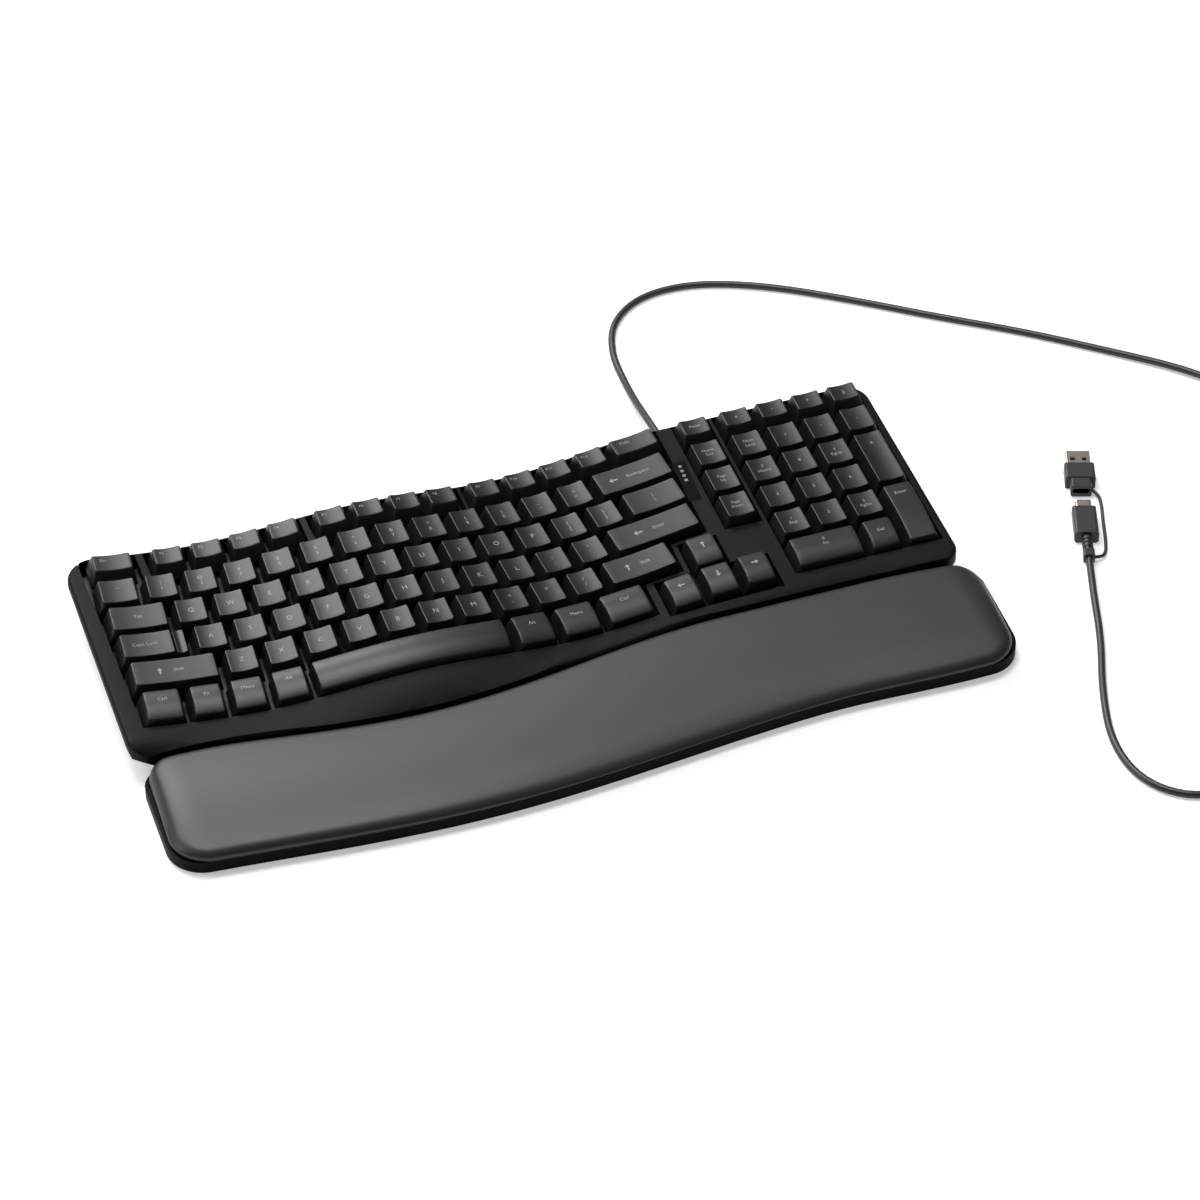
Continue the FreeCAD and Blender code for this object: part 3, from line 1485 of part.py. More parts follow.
shell_end = 11.0
adapter_end = 28.5
plug_front = 43.5
relief_start = 63.5
shell = plug_bar(0.0, shell_end, 12.0, 4.5, 0.5).cut(plug_bar(-1.0, shell_end, 11.2, 3.7, 0.2))
for side in (-2.9, 2.9):
    latch = Part.makeBox(2.4, 2.2, 4.0, V(-1.2, -1.1, 0))
    latch.Placement = FreeCAD.Placement(
        plug_place(6.3, side), FreeCAD.Rotation(Z_AXIS, dim.plug_heading)
    )
    shell = shell.cut(latch)
add_shape("adapter_shell", shell)
tongue = plug_bar(0.8, shell_end, 11.0, 1.8, 0.1)
tongue.translate(V(0, 0, -0.9))
adapter = plug_bar(shell_end, 22.0, 15.0, 7.9, 1.2)
adapter = adapter.multiFuse([plug_bar(22.0, adapter_end, 10.5, 7.0, 1.2), tongue])
adapter = adapter.cut(plug_bar(adapter_end - 6.0, adapter_end + 1.0, 8.7, 3.0, 1.45))
add_shape("adapter_body", adapter)
add_shape("plug_shell", plug_bar(36.5, plug_front, 8.3, 2.6, 1.25))
add_shape("plug_body", plug_bar(plug_front, relief_start, 12.0, 7.0, 1.6))
relief = plug_rod(relief_start, collar_end, 2.3)
ring_starts = [relief_start + 1.6 + 2.7 * index for index in range(3)]
rings = [plug_rod(start, start + 1.5, 2.7) for start in ring_starts]
collar = plug_bar(74.5, collar_end, 5.6, 5.6, 1.0)
relief = relief.multiFuse(rings + [collar])
add_shape("plug_relief", relief)
tether_radius = dim.tether_diameter / 2
tether_level = tether_radius + 0.05
tether_points = [
    plug_place(77.0, 2.8, 3.0),
    plug_place(75.4, 7.0, 1.6),
    plug_place(70.0, 9.2, tether_level),
    plug_place(60.0, 9.6, tether_level),
    plug_place(47.0, 9.4, tether_level),
    plug_place(35.0, 9.6, tether_level),
    plug_place(28.2, 8.8, 1.4),
    plug_place(25.6, 5.25, 2.6),
]
tether = tube(rounded_path(tether_points, "adapter_tether"), tether_radius, "adapter_tether")
add_shape("adapter_tether", tether.cut(relief).cut(adapter))

doc.recompute()
broken = [
    item.Name for item in doc.Objects if "Invalid" in item.State or "Error" in item.State
]
broken += [
    name for name, item in nodes.items() if item.Shape.isNull() or not item.Shape.isValid()
]
if broken:
    raise RuntimeError("not sound: " + ", ".join(broken))
os.makedirs("parts", exist_ok=True)
for name, item in nodes.items():
    item.Shape.exportStep(f"parts/{name}.step")
print(len(nodes), "parts written")
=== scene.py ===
import bmesh
import bpy
import numpy as np
from mathutils import Matrix, Vector


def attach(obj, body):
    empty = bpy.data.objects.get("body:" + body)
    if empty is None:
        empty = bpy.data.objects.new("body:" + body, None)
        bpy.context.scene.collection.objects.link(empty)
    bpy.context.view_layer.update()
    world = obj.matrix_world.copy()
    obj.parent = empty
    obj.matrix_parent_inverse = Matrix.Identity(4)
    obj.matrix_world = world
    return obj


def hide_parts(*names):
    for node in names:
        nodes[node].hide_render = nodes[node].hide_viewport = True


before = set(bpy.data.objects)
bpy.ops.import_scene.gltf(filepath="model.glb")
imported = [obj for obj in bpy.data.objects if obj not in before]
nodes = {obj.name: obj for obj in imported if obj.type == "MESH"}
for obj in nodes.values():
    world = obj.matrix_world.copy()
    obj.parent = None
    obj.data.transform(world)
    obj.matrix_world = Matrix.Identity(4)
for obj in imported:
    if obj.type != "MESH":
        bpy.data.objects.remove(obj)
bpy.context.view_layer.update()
scene = bpy.context.scene


# Camera and room. The keyboard lies on a pale floor under three soft lamps: a large one behind
# it to the left, one above it and a weak one at the left. The rest of the room is dim and even.

camera_data = bpy.data.cameras.new("camera")
camera_data.lens = 142.67
camera_data.sensor_width = 36.0
camera_data.clip_start = 0.1
camera_data.clip_end = 60.0
camera = bpy.data.objects.new("camera", camera_data)
scene.collection.objects.link(camera)
look = Vector((0.25618, 0.70351, -0.66291)).normalized()
rightward = Vector((0.93964, -0.34217, 0.0)).normalized()
upward = rightward.cross(look)
camera.matrix_world = Matrix(
    [
        (rightward.x, upward.x, -look.x, -0.5506),
        (rightward.y, upward.y, -look.y, -1.5954),
        (rightward.z, upward.z, -look.z, 1.5232),
        (0.0, 0.0, 0.0, 1.0),
    ]
)
scene.camera = camera
scene.view_settings.view_transform = "Standard"


def lamp(name, place, target, width, height, power):
    """A soft rectangular lamp that faces a point."""
    data = bpy.data.lights.new(name, "AREA")
    data.shape = "RECTANGLE"
    data.size = width
    data.size_y = height
    data.energy = power
    item = bpy.data.objects.new(name, data)
    scene.collection.objects.link(item)
    item.location = place
    aim = Vector(target) - Vector(place)
    item.rotation_euler = aim.to_track_quat("-Z", "Y").to_euler()


lamp("back_lamp", (-0.42, 1.75, 1.75), (0.0, 0.0, 0.0), 1.8, 0.8, 61.0)
lamp("top_lamp", (-0.05, 0.45, 2.3), (0.0, 0.0, 0.0), 1.3, 0.6, 40.0)
lamp("left_lamp", (-1.5, 0.3, 0.7), (0.0, 0.0, 0.0), 0.5, 0.9, 7.0)


def plain_tree(name):
    """A new material, with its node tree and its Principled shader."""
    material = bpy.data.materials.new(name)
    material.use_nodes = True
    tree = material.node_tree
    return material, tree, tree.nodes["Principled BSDF"]


def is_seen_ray(tree):
    """1 on rays that come from the camera, or from it by way of metal, gloss or glass."""
    path = tree.nodes.new("ShaderNodeLightPath")
    glossy = tree.nodes.new("ShaderNodeMath")
    glossy.operation = "MAXIMUM"
    tree.links.new(path.outputs["Is Camera Ray"], glossy.inputs[0])
    tree.links.new(path.outputs["Is Glossy Ray"], glossy.inputs[1])
    both = tree.nodes.new("ShaderNodeMath")
    both.operation = "MAXIMUM"
    tree.links.new(glossy.outputs[0], both.inputs[0])
    tree.links.new(path.outputs["Is Transmission Ray"], both.inputs[1])
    return both.outputs[0]


world = bpy.data.worlds.new("room")
world.use_nodes = True
scene.world = world
room = world.node_tree
background = room.nodes["Background"]
background.inputs["Color"].default_value = (1.0, 1.0, 1.0, 1.0)
background.inputs["Strength"].default_value = 0.12

floor_material, tree, shader = plain_tree("pale_floor")
shader.inputs["Base Color"].default_value = (0.7, 0.7, 0.7, 1.0)
shader.inputs["Roughness"].default_value = 0.9
shader.inputs["Specular IOR Level"].default_value = 0.0
shader.inputs["Emission Color"].default_value = (1.0, 1.0, 1.0, 1.0)
glow = tree.nodes.new("ShaderNodeMath")
glow.operation = "MULTIPLY"
glow.inputs[1].default_value = 0.42
tree.links.new(is_seen_ray(tree), glow.inputs[0])
tree.links.new(glow.outputs[0], shader.inputs["Emission Strength"])
floor_mesh = bpy.data.meshes.new("floor")
reach = 12.0
floor_mesh.from_pydata(
    [(-reach, -reach, 0.0), (reach, -reach, 0.0), (reach, reach, 0.0), (-reach, reach, 0.0)],
    [],
    [(0, 1, 2, 3)],
)
floor = bpy.data.objects.new("floor", floor_mesh)
floor_mesh.materials.append(floor_material)
scene.collection.objects.link(floor)


# Cord: 1.5 m of 3.7 mm round PVC cord. It leaves the back of the case through a short gland,
# goes round behind the keyboard, is wound up in a bundle and ends in the plug.

MM = 0.001


def on_surface(name, material, body, verts, faces, smooth=True):
    """A mesh from rows of points in millimetres and rows of corners, riding on a body."""
    mesh = bpy.data.meshes.new(name)
    mesh.from_pydata((np.asarray(verts) * MM).tolist(), [], faces)
    mesh.validate()
    mesh.shade_smooth() if smooth else mesh.shade_flat()
    mesh.materials.append(material)
    item = bpy.data.objects.new(name, mesh)
    scene.collection.objects.link(item)
    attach(item, body)
    return item


def grain_group():
    """Fine moulded grain: a height from two sizes of noise, and a mask of faint colour patches."""
    group = bpy.data.node_groups.new("moulded_grain", "ShaderNodeTree")
    group.interface.new_socket("Scale", in_out="INPUT", socket_type="NodeSocketFloat")
    group.interface.new_socket("Depth", in_out="INPUT", socket_type="NodeSocketFloat")
    group.interface.new_socket("Normal", in_out="OUTPUT", socket_type="NodeSocketVector")
    group.interface.new_socket("Patches", in_out="OUTPUT", socket_type="NodeSocketFloat")
    inner = group.nodes.new("NodeGroupInput")
    outer = group.nodes.new("NodeGroupOutput")
    place = group.nodes.new("ShaderNodeTexCoord")
    fine = group.nodes.new("ShaderNodeTexNoise")
    fine.inputs["Detail"].default_value = 3.0
    group.links.new(place.outputs["Object"], fine.inputs["Vector"])
    group.links.new(inner.outputs["Scale"], fine.inputs["Scale"])
    bump = group.nodes.new("ShaderNodeBump")
    bump.inputs["Distance"].default_value = 0.0001
    group.links.new(inner.outputs["Depth"], bump.inputs["Strength"])
    group.links.new(fine.outputs["Fac"], bump.inputs["Height"])
    group.links.new(bump.outputs["Normal"], outer.inputs["Normal"])
    broad = group.nodes.new("ShaderNodeTexNoise")
    broad.inputs["Scale"].default_value = 40.0
    broad.inputs["Detail"].default_value = 4.0
    group.links.new(place.outputs["Object"], broad.inputs["Vector"])
    group.links.new(broad.outputs["Fac"], outer.inputs["Patches"])
    return group


moulded_grain = grain_group()


def moulded(name, dark, light, rough_low, rough_high, scale, depth, sheen=0.5):
    """A moulded surface: colour and roughness wander a little with the patches, and the grain is
    in the bump. Sheen is the strength of its mirror reflection."""
    material, tree, shader = plain_tree(name)
    shader.inputs["Specular IOR Level"].default_value = sheen
    grain = tree.nodes.new("ShaderNodeGroup")
    grain.node_tree = moulded_grain
    grain.inputs["Scale"].default_value = scale
    grain.inputs["Depth"].default_value = depth
    tint = tree.nodes.new("ShaderNodeMix")
    tint.data_type = "RGBA"
    tint.inputs["A"].default_value = (*dark, 1.0)
    tint.inputs["B"].default_value = (*light, 1.0)
    tree.links.new(grain.outputs["Patches"], tint.inputs["Factor"])
    tree.links.new(tint.outputs["Result"], shader.inputs["Base Color"])
    rough = tree.nodes.new("ShaderNodeMapRange")
    rough.inputs["To Min"].default_value = rough_low
    rough.inputs["To Max"].default_value = rough_high
    tree.links.new(grain.outputs["Patches"], rough.inputs["Value"])
    tree.links.new(rough.outputs["Result"], shader.inputs["Roughness"])
    tree.links.new(grain.outputs["Normal"], shader.inputs["Normal"])
    return material


cord_rubber = moulded(
    "cord_rubber", (0.012, 0.012, 0.013), (0.02, 0.02, 0.021), 0.38, 0.5, 2500.0, 0.3
)

cord_radius = 1.85
rest_level = cord_radius + 0.05
coil_centre = np.array([423.0, 65.0])
coil_outer = 25.5
coil_pitch = 4.15
coil_low = 2.75
coil_start = 215.2
coil_end = 1600.0


def coil_points(angles):
    """Places on the bundle: radius falls by the pitch each turn to the middle and grows again;
    the height climbs one pitch in the half turn about the middle."""
    offset = angles - (coil_start + coil_end) / 2
    turns = np.minimum(angles - coil_start, coil_end - angles) / 360
    edge_turns = ((coil_end - coil_start) / 2 - 90) / 360
    turning = coil_outer - coil_pitch * edge_turns - coil_pitch / 720 * (90 - offset**2 / 90)
    turning = turning - 0.4 * np.cos(np.radians(offset)) ** 2
    inside = np.abs(offset) < 90
    radius = np.where(inside, turning, coil_outer - coil_pitch * turns)
    climb = np.where(inside, (1 - np.cos(np.radians(offset + 90))) / 2, offset > 0)
    turned = np.radians(angles)
    x = coil_centre[0] + radius * np.cos(turned)
    y = coil_centre[1] + radius * np.sin(turned)
    return np.column_stack([x, y, coil_low + coil_pitch * climb])


coil_line = coil_points(np.linspace(coil_start, coil_end, 93))
entry = np.array([0.577, -0.817, 0.0])
leaving = np.array([-0.342, -0.940, 0.0])
plug_ahead = np.array([0.34202, 0.93969, 0.0])
plug_side = np.array([0.93969, -0.34202, 0.0])
plug_tip = np.array([297.8, 38.5, 4.0])


def plug_place(back, side, height):
    """A place beside the plug: back from its tip, to the side, and at a height over the floor."""
    place = plug_tip - plug_ahead * back + plug_side * side
    return (place[0], place[1], height)


lead_route = [
    (102.4, 112.41, 13.6),
    (102.4, 130.41, 12.0),
    (104.2, 150.0, 6.2),
    (106.2, 172.0, rest_level + 0.2),
    (108.0, 196.0, rest_level),
    (117.0, 220.0, rest_level),
    (138.0, 236.0, rest_level),
    (168.0, 237.0, rest_level),
    (203.0, 222.0, rest_level),
    (240.0, 196.0, rest_level),
    (277.0, 167.0, rest_level),
    (313.0, 141.0, rest_level),
    (346.0, 113.0, rest_level),
    tuple(coil_line[0] - entry * 39.7),
]
tail_route = [
    tuple(coil_line[-1] + leaving * 18.7),
    (386.0, 38.0, 5.2),
    (377.5, 14.0, rest_level + 0.1),
    (363.0, -27.0, rest_level),
    (345.0, -71.0, rest_level),
    (331.0, -112.0, rest_level),
    (315.0, -153.0, rest_level),
    (298.0, -184.0, rest_level),
    (275.0, -203.0, rest_level),
    (249.0, -205.0, rest_level),
    (230.0, -187.0, rest_level),
    (227.0, -158.0, rest_level),
    (238.0, -123.0, rest_level),
    plug_place(135.5, 1.5, rest_level + 0.1),
    plug_place(105.5, 0.0, 4.0),
    plug_place(79.5, 0.0, 4.0),
]


def round_cord(name, route, radius, material):
    """A round cord whose line is a NURBS spline through the route's control points."""
    curve = bpy.data.curves.new(name, "CURVE")
    curve.dimensions = "3D"
    curve.bevel_depth = radius * MM
    curve.bevel_resolution = 5
    curve.use_fill_caps = True
    spline = curve.splines.new("NURBS")
    spline.points.add(len(route) - 1)
    for point, place in zip(spline.points, route):
        point.co = (place[0] * MM, place[1] * MM, place[2] * MM, 1.0)
    spline.order_u = 3
    spline.use_endpoint_u = True
    spline.resolution_u = 6
    curve.materials.append(material)
    item = bpy.data.objects.new(name, curve)
    scene.collection.objects.link(item)
    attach(item, "keyboard_base")
    return item


cord_route = lead_route + [tuple(place) for place in coil_line] + tail_route
cord = round_cord("cord", cord_route, cord_radius, cord_rubber)
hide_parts("cord_lead", "cord_coil", "cord_tail")
tether_route = [
    plug_place(77.0, 2.8, 3.0),
    plug_place(75.4, 7.0, 1.6),
    plug_place(70.0, 9.2, 0.925),
    plug_place(60.0, 9.6, 0.925),
    plug_place(47.0, 9.4, 0.925),
    plug_place(35.0, 9.6, 0.925),
    plug_place(28.2, 8.8, 1.4),
    plug_place(25.6, 5.25, 2.6),
]
tether = round_cord("tether", tether_route, 0.875, cord_rubber)
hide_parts("adapter_tether")


# Plug and adapter. The plug is moulded PVC over a plated shell, with a ribbed relief and a
# collar; the adapter hangs from the collar on its tether, and its plated shell is stamped.

for name in ("plug_body", "plug_relief", "adapter_body", "cord_gland"):
    nodes[name].data.materials.clear()
    nodes[name].data.materials.append(cord_rubber)


def plated_metal(name, colour, roughness):
    """Plated sheet metal: fine lines along the part in the bump, faint dulling in patches."""
    material, tree, shader = plain_tree(name)
    shader.inputs["Metallic"].default_value = 1.0
    place = tree.nodes.new("ShaderNodeTexCoord")
    stretch = tree.nodes.new("ShaderNodeMapping")
    stretch.inputs["Scale"].default_value = (1.0, 12.0, 1.0)
    tree.links.new(place.outputs["Object"], stretch.inputs["Vector"])
    lines = tree.nodes.new("ShaderNodeTexNoise")
    lines.inputs["Scale"].default_value = 300.0
    lines.inputs["Detail"].default_value = 3.0
    tree.links.new(stretch.outputs["Vector"], lines.inputs["Vector"])
    bump = tree.nodes.new("ShaderNodeBump")
    bump.inputs["Strength"].default_value = 0.25
    bump.inputs["Distance"].default_value = 0.00005
    tree.links.new(lines.outputs["Fac"], bump.inputs["Height"])
    tree.links.new(bump.outputs["Normal"], shader.inputs["Normal"])
    dull = tree.nodes.new("ShaderNodeMapRange")
    dull.inputs["To Min"].default_value = roughness - 0.06
    dull.inputs["To Max"].default_value = roughness + 0.08
    tree.links.new(lines.outputs["Fac"], dull.inputs["Value"])
    tree.links.new(dull.outputs["Result"], shader.inputs["Roughness"])
    tint = tree.nodes.new("ShaderNodeMix")
    tint.data_type = "RGBA"
    tint.inputs["A"].default_value = (*[0.82 * part for part in colour], 1.0)
    tint.inputs["B"].default_value = (*colour, 1.0)
    tree.links.new(lines.outputs["Fac"], tint.inputs["Factor"])
    tree.links.new(tint.outputs["Result"], shader.inputs["Base Color"])
    return material


shell_metal = plated_metal("shell_metal", (0.62, 0.56, 0.48), 0.3)
for name in ("plug_shell", "adapter_shell"):
    nodes[name].data.materials.clear()
    nodes[name].data.materials.append(shell_metal)
tie_plastic = moulded(
    "tie_plastic", (0.014, 0.014, 0.015), (0.022, 0.022, 0.023), 0.4, 0.5, 900.0, 0.2
)
nodes["coil_tie"].data.materials.clear()
nodes["coil_tie"].data.materials.append(tie_plastic)


# Case: two halves moulded in black ABS with a fine satin grain, screwed together from below.
# The top half carries the hump, the wells and the slope down to the wrist rest.

case_plastic = moulded(
    "case_plastic", (0.0035, 0.0035, 0.0037), (0.006, 0.006, 0.0062), 0.48, 0.56, 1800.0, 0.35, 0.09
)


def eased_copy(name, node, body, material, width, segments, angle=32.0):
    """A copy of a CAD piece with its triangles welded and its corners eased by a small bevel."""
    mesh = nodes[node].data.copy()
    mesh.name = name
    work = bmesh.new()
    work.from_mesh(mesh)
    bmesh.ops.remove_doubles(work, verts=work.verts, dist=0.000002)
    bmesh.ops.dissolve_limit(
        work, angle_limit=np.radians(0.4), verts=work.verts, edges=work.edges
    )
    work.to_mesh(mesh)
    work.free()
    mesh.materials.clear()
    mesh.materials.append(material)
    mesh.shade_smooth()
    mesh.set_sharp_from_angle(angle=np.radians(angle))
    item = bpy.data.objects.new(name, mesh)
    scene.collection.objects.link(item)
    if width:
        bevel = item.modifiers.new("eased", "BEVEL")
        bevel.width = width * MM
        bevel.segments = segments
        bevel.limit_method = "ANGLE"
        bevel.angle_limit = np.radians(angle)
        bevel.harden_normals = True
    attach(item, body)
    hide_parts(node)
    return item


eased_copy("top_case_shell", "top_case", "keyboard_base", case_plastic, 0.9, 3)
eased_copy("bottom_case_tray", "bottom_case", "keyboard_base", case_plastic, 0.4, 2)


# Inner stack, seen only as dark depth between the keys: the guide plate with its chimneys,
# the dome sheet, the membrane, the steel plate, and the board with its parts.

inner_finishes = {
    "key_guide_plate": ((0.008, 0.008, 0.008), (0.013, 0.013, 0.013), 0.6),
    "rubber_dome_sheet": ((0.45, 0.45, 0.42), (0.55, 0.55, 0.52), 0.7),
    "membrane_circuit": ((0.25, 0.3, 0.27), (0.35, 0.4, 0.36), 0.3),
    "controller_board": ((0.01, 0.08, 0.03), (0.02, 0.12, 0.05), 0.35),
    "board_parts": ((0.02, 0.02, 0.02), (0.04, 0.04, 0.04), 0.5),
    "wrist_rest_board": ((0.03, 0.03, 0.03), (0.04, 0.04, 0.04), 0.6),
    "rubber_pads": ((0.012, 0.012, 0.012), (0.02, 0.02, 0.02), 0.75),
    "tilt_foot_grip_left": ((0.012, 0.012, 0.012), (0.02, 0.02, 0.02), 0.75),
    "tilt_foot_grip_right": ((0.012, 0.012, 0.012), (0.02, 0.02, 0.02), 0.75),
    "tilt_foot_left": ((0.02, 0.02, 0.02), (0.03, 0.03, 0.03), 0.45),
    "tilt_foot_right": ((0.02, 0.02, 0.02), (0.03, 0.03, 0.03), 0.45),
}
for name, (dark, light, roughness) in inner_finishes.items():
    finish = moulded(name + "_finish", dark, light, roughness - 0.05, roughness + 0.05, 1500.0, 0.3)
    nodes[name].data.materials.clear()
    nodes[name].data.materials.append(finish)
zinc = plated_metal("zinc", (0.5, 0.5, 0.5), 0.4)
dark_zinc = plated_metal("dark_zinc", (0.12, 0.12, 0.125), 0.4)
nodes["backing_plate"].data.materials.clear()
nodes["backing_plate"].data.materials.append(zinc)
for name in ("case_screws", "wrist_rest_screws"):
    nodes[name].data.materials.clear()
    nodes[name].data.materials.append(dark_zinc)


# Keycaps: black ABS shells with a satin top, dished across on the upper rows and rounded
# down to the front on the lowest row. Each is moulded with a stem that runs in a chimney.

tilt = np.radians(4.14)
block_middle = -53.6
key_gap = 0.9
row_pitch = 18.75
key_pitch = 18.95
pad_pitch = 19.05
home_line = 26.7
cap_height = 8.8
brow_drop = 2.6
short_depth = 17.0
stem_half = 3.0


def smile(x):
    """How far a row bends away at x: 5.4 t squared less 0.6 t to the fourth, t in 100 mm."""
    t = (x - block_middle) / 100
    return 5.4 * t**2 - 0.6 * t**4


def wave(x):
    """Hump and hollows: a cosine wave, 7 mm high at the hump and 4 mm to its sides, that leans."""
    offset = np.clip(x + 63.6, -176.0, 176.0)
    crest = np.where(np.abs(offset) < 88.0, 7.0, 4.0)
    return crest * (1 + np.cos(np.pi * offset / 88.0)) / 2 - 1.8 - 0.0114 * offset


def key_top(x, y):
    """Height of the key surface: a plane that rises away from the user, plus the wave."""
    return 25.75 + y * np.tan(tilt) + wave(x)


def slope_of(rule, x):
    return np.arctan(rule(x + 0.5) - rule(x - 0.5))


def rounded_rectangle(half_width, half_depth, radius, straight=6, corner=5):
    """One loop of points round a rectangle with round corners, anticlockwise from the right."""
    angles = np.radians(np.linspace(0.0, 90.0, corner))
    loop = []
    for quarter, (sx, sy) in enumerate([(1, 1), (-1, 1), (-1, -1), (1, -1)]):
        turned = angles + np.pi / 2 * quarter
        cx = sx * (half_width - radius)
        cy = sy * (half_depth - radius)
        loop.append(np.column_stack([cx + radius * np.cos(turned), cy + radius * np.sin(turned)]))
    points = []
    for index, arc in enumerate(loop):
        points.append(arc)
        ahead = loop[(index + 1) % 4][0]
        share = np.linspace(0.0, 1.0, straight + 2)[1:-1, None]
        points.append(arc[-1] * (1 - share) + ahead * share)
    return np.vstack(points)


key_plastic = moulded(
    "key_plastic", (0.005, 0.005, 0.0053), (0.008, 0.008, 0.0083), 0.36, 0.44, 2600.0, 0.25, 0.38
)
side_taper = 2.3
front_taper = 1.9
back_taper = 1.0
short_front_taper = 3.6
short_back_taper = 1.8
top_dish = 0.8
low_end_drop = 0.8


def cap_top(x, y, half_width, back, brow_depth):
    """Height of a cap's top: a shallow dish across, or an arc that falls a little to the back and
    more to the front."""
    if not brow_depth:
        return -top_dish * (1 - np.minimum(1.0, np.abs(x) / half_width) ** 2)
    shoulder = back - 0.3 * brow_depth
    length = shoulder + brow_depth / 2 - 0.5 * front_taper
    radius = (length**2 + brow_drop**2) / (2 * brow_drop)
    run = np.clip(shoulder - y, -length, length)
    return np.sqrt(radius**2 - run**2) - radius


def cap_rings(width, depth, brow, lean=0.0):
    """Loops of points from the middle of the hollow, over the wall and the eased edge, to the
    middle of the top. Each loop is a rounded rectangle, and the edge is a quadratic blend. The
    caps of the top row, which are less deep, lean in more; lean moves a narrower top sideways."""
    short = depth < short_depth
    half_width = width / 2 - side_taper + abs(lean)
    back = depth / 2 - (short_back_taper if short else back_taper)
    front = -depth / 2 + (short_front_taper if short else front_taper) * (0.5 if brow else 1.0)
    middle = (back + front) / 2
    half_depth = (back - front) / 2
    straight = 6 if width < 60 else 28
    brow_depth = depth if brow else 0.0

    def loop(half_x, half_y, radius, centre, height=None):
        flat = rounded_rectangle(half_x, half_y, radius, straight) + [0.0, centre]
        if height is None:
            height = cap_top(flat[:, 0], flat[:, 1], half_width, back, brow_depth)
        else:
            height = np.full(len(flat), height)
        return np.column_stack([flat, height])

    eased = 0.8 if short else 0.55
    wall = 1.3
    ceiling = -wall - (brow_drop if brow else top_dish)
    base = loop(width / 2, depth / 2, 1.0, 0.0, -cap_height)
    corner = loop(half_width, half_depth, 1.1, middle)
    top = loop(half_width - eased, half_depth - eased, 0.6, middle)
    length = np.linalg.norm(base - corner, axis=1, keepdims=True)
    side = corner + (base - corner) * eased / length
    hollow = loop(width / 2 - wall, depth / 2 - wall, 0.6, 0.0, -cap_height)
    roof = loop(half_width - wall, half_depth - wall, 0.6, middle, ceiling)
    rings = [roof * [0.02, 0.02, 1.0] + [0.0, middle, 0.0], roof, hollow, base, side]
    for share in (0.25, 0.5, 0.75):
        rings.append((1 - share) ** 2 * side + 2 * share * (1 - share) * corner + share**2 * top)
    rings.append(top)
    centre = np.array([0.0, middle])
    for share in (0.86, 0.7, 0.54, 0.38, 0.22, 0.08):
        flat = (top[:, :2] - centre) * share + centre
        height = cap_top(flat[:, 0], flat[:, 1], half_width, back, brow_depth)
        rings.append(np.column_stack([flat, height]))
    rings = np.array(rings)
    rings[..., 0] += lean * (rings[..., 2] + cap_height) / cap_height
    return rings


def ring_faces(ring_count, around, start=0):
    """Quads between neighbouring rings, and one face to close each end."""
    ring, step = np.meshgrid(np.arange(ring_count - 1), np.arange(around), indexing="ij")
    following = (step + 1) % around
    quads = np.stack(
        [
            ring * around + step,
            ring * around + following,
            (ring + 1) * around + following,
            (ring + 1) * around + step,
        ],
        axis=-1,
    )
    faces = (quads.reshape(-1, 4) + start).tolist()
    faces.append([start + index for index in range(around)][::-1])
    last = start + (ring_count - 1) * around
    faces.append([last + index for index in range(around)])
    return faces


def turned(points, axis, angle):
    return points @ np.array(Matrix.Rotation(angle, 3, axis)).T


def seated(points, cell):
    """Points of a cap at its place: rolled with the wave, turned with the row, tipped back."""
    x, y, _, _, yaw, _ = cell
    place = turned(points, "Y", -slope_of(wave, x))
    place = turned(turned(place, "Z", yaw), "X", tilt)
    return place + [x, y, key_top(x, y)]


def draped(points, cell):
    """Points of the long bar at their place: carried along the curve of its row and the wave."""
    x = cell[0] + points[:, 0]
    x = x - points[:, 2] * np.tan(slope_of(wave, x))
    line = home_line + smile(x) + brow_offset
    y = line + points[:, 1] * np.cos(tilt) - points[:, 2] * np.sin(tilt)
    z = key_top(x, line) + points[:, 1] * np.sin(tilt) + points[:, 2] * np.cos(tilt)
    return np.column_stack([x, y, z])


def caps(node, cells, place=seated, leans=None, stems=None):
    """One mesh of all the keycaps of a node; each is a shell with a square stem inside. The stems
    have places of their own where a cap is in two parts or set in, and a part that leans to the
    left stands lower."""
    verts = []
    faces = []
    count = 0
    for cell, lean in zip(cells, leans or [0.0] * len(cells)):
        rings = cap_rings(cell[2] - key_gap, cell[3] - key_gap, cell[5], lean)
        if lean < 0:
            rings[..., 2] -= low_end_drop
        around = rings.shape[1]
        faces += ring_faces(len(rings), around, count)
        verts.append(place(rings.reshape(-1, 3), cell))
        count += rings.shape[0] * around
    for cell in stems or cells:
        post = np.array([(-1, -1), (1, -1), (1, 1), (-1, 1)]) * stem_half
        low = np.column_stack([post, np.full(4, -12.1)])
        high = np.column_stack([post, np.full(4, -3.9 if cell[5] else -1.4)])
        verts.append(place(np.vstack([low, high]), cell))
        faces += ring_faces(2, 4, count)
        count += 8
    item = on_surface(node + "_caps", key_plastic, node, np.vstack(verts), faces)
    item.data.set_sharp_from_angle(angle=np.radians(50))
    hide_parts(node)
    return item


def row_cell(offset, depth, start, end, brow=False):
    """A key of the main block between two places along its row: x, y, width, depth, yaw, brow."""
    x = block_middle + (start + end) / 2
    return (x, home_line + smile(x) + offset, end - start, depth, slope_of(smile, x), brow)


def run_of_keys(offset, depth, first, count, pitch=key_pitch):
    middles = first + pitch * np.arange(count)
    return [row_cell(offset, depth, m - pitch / 2, m + pitch / 2) for m in middles]


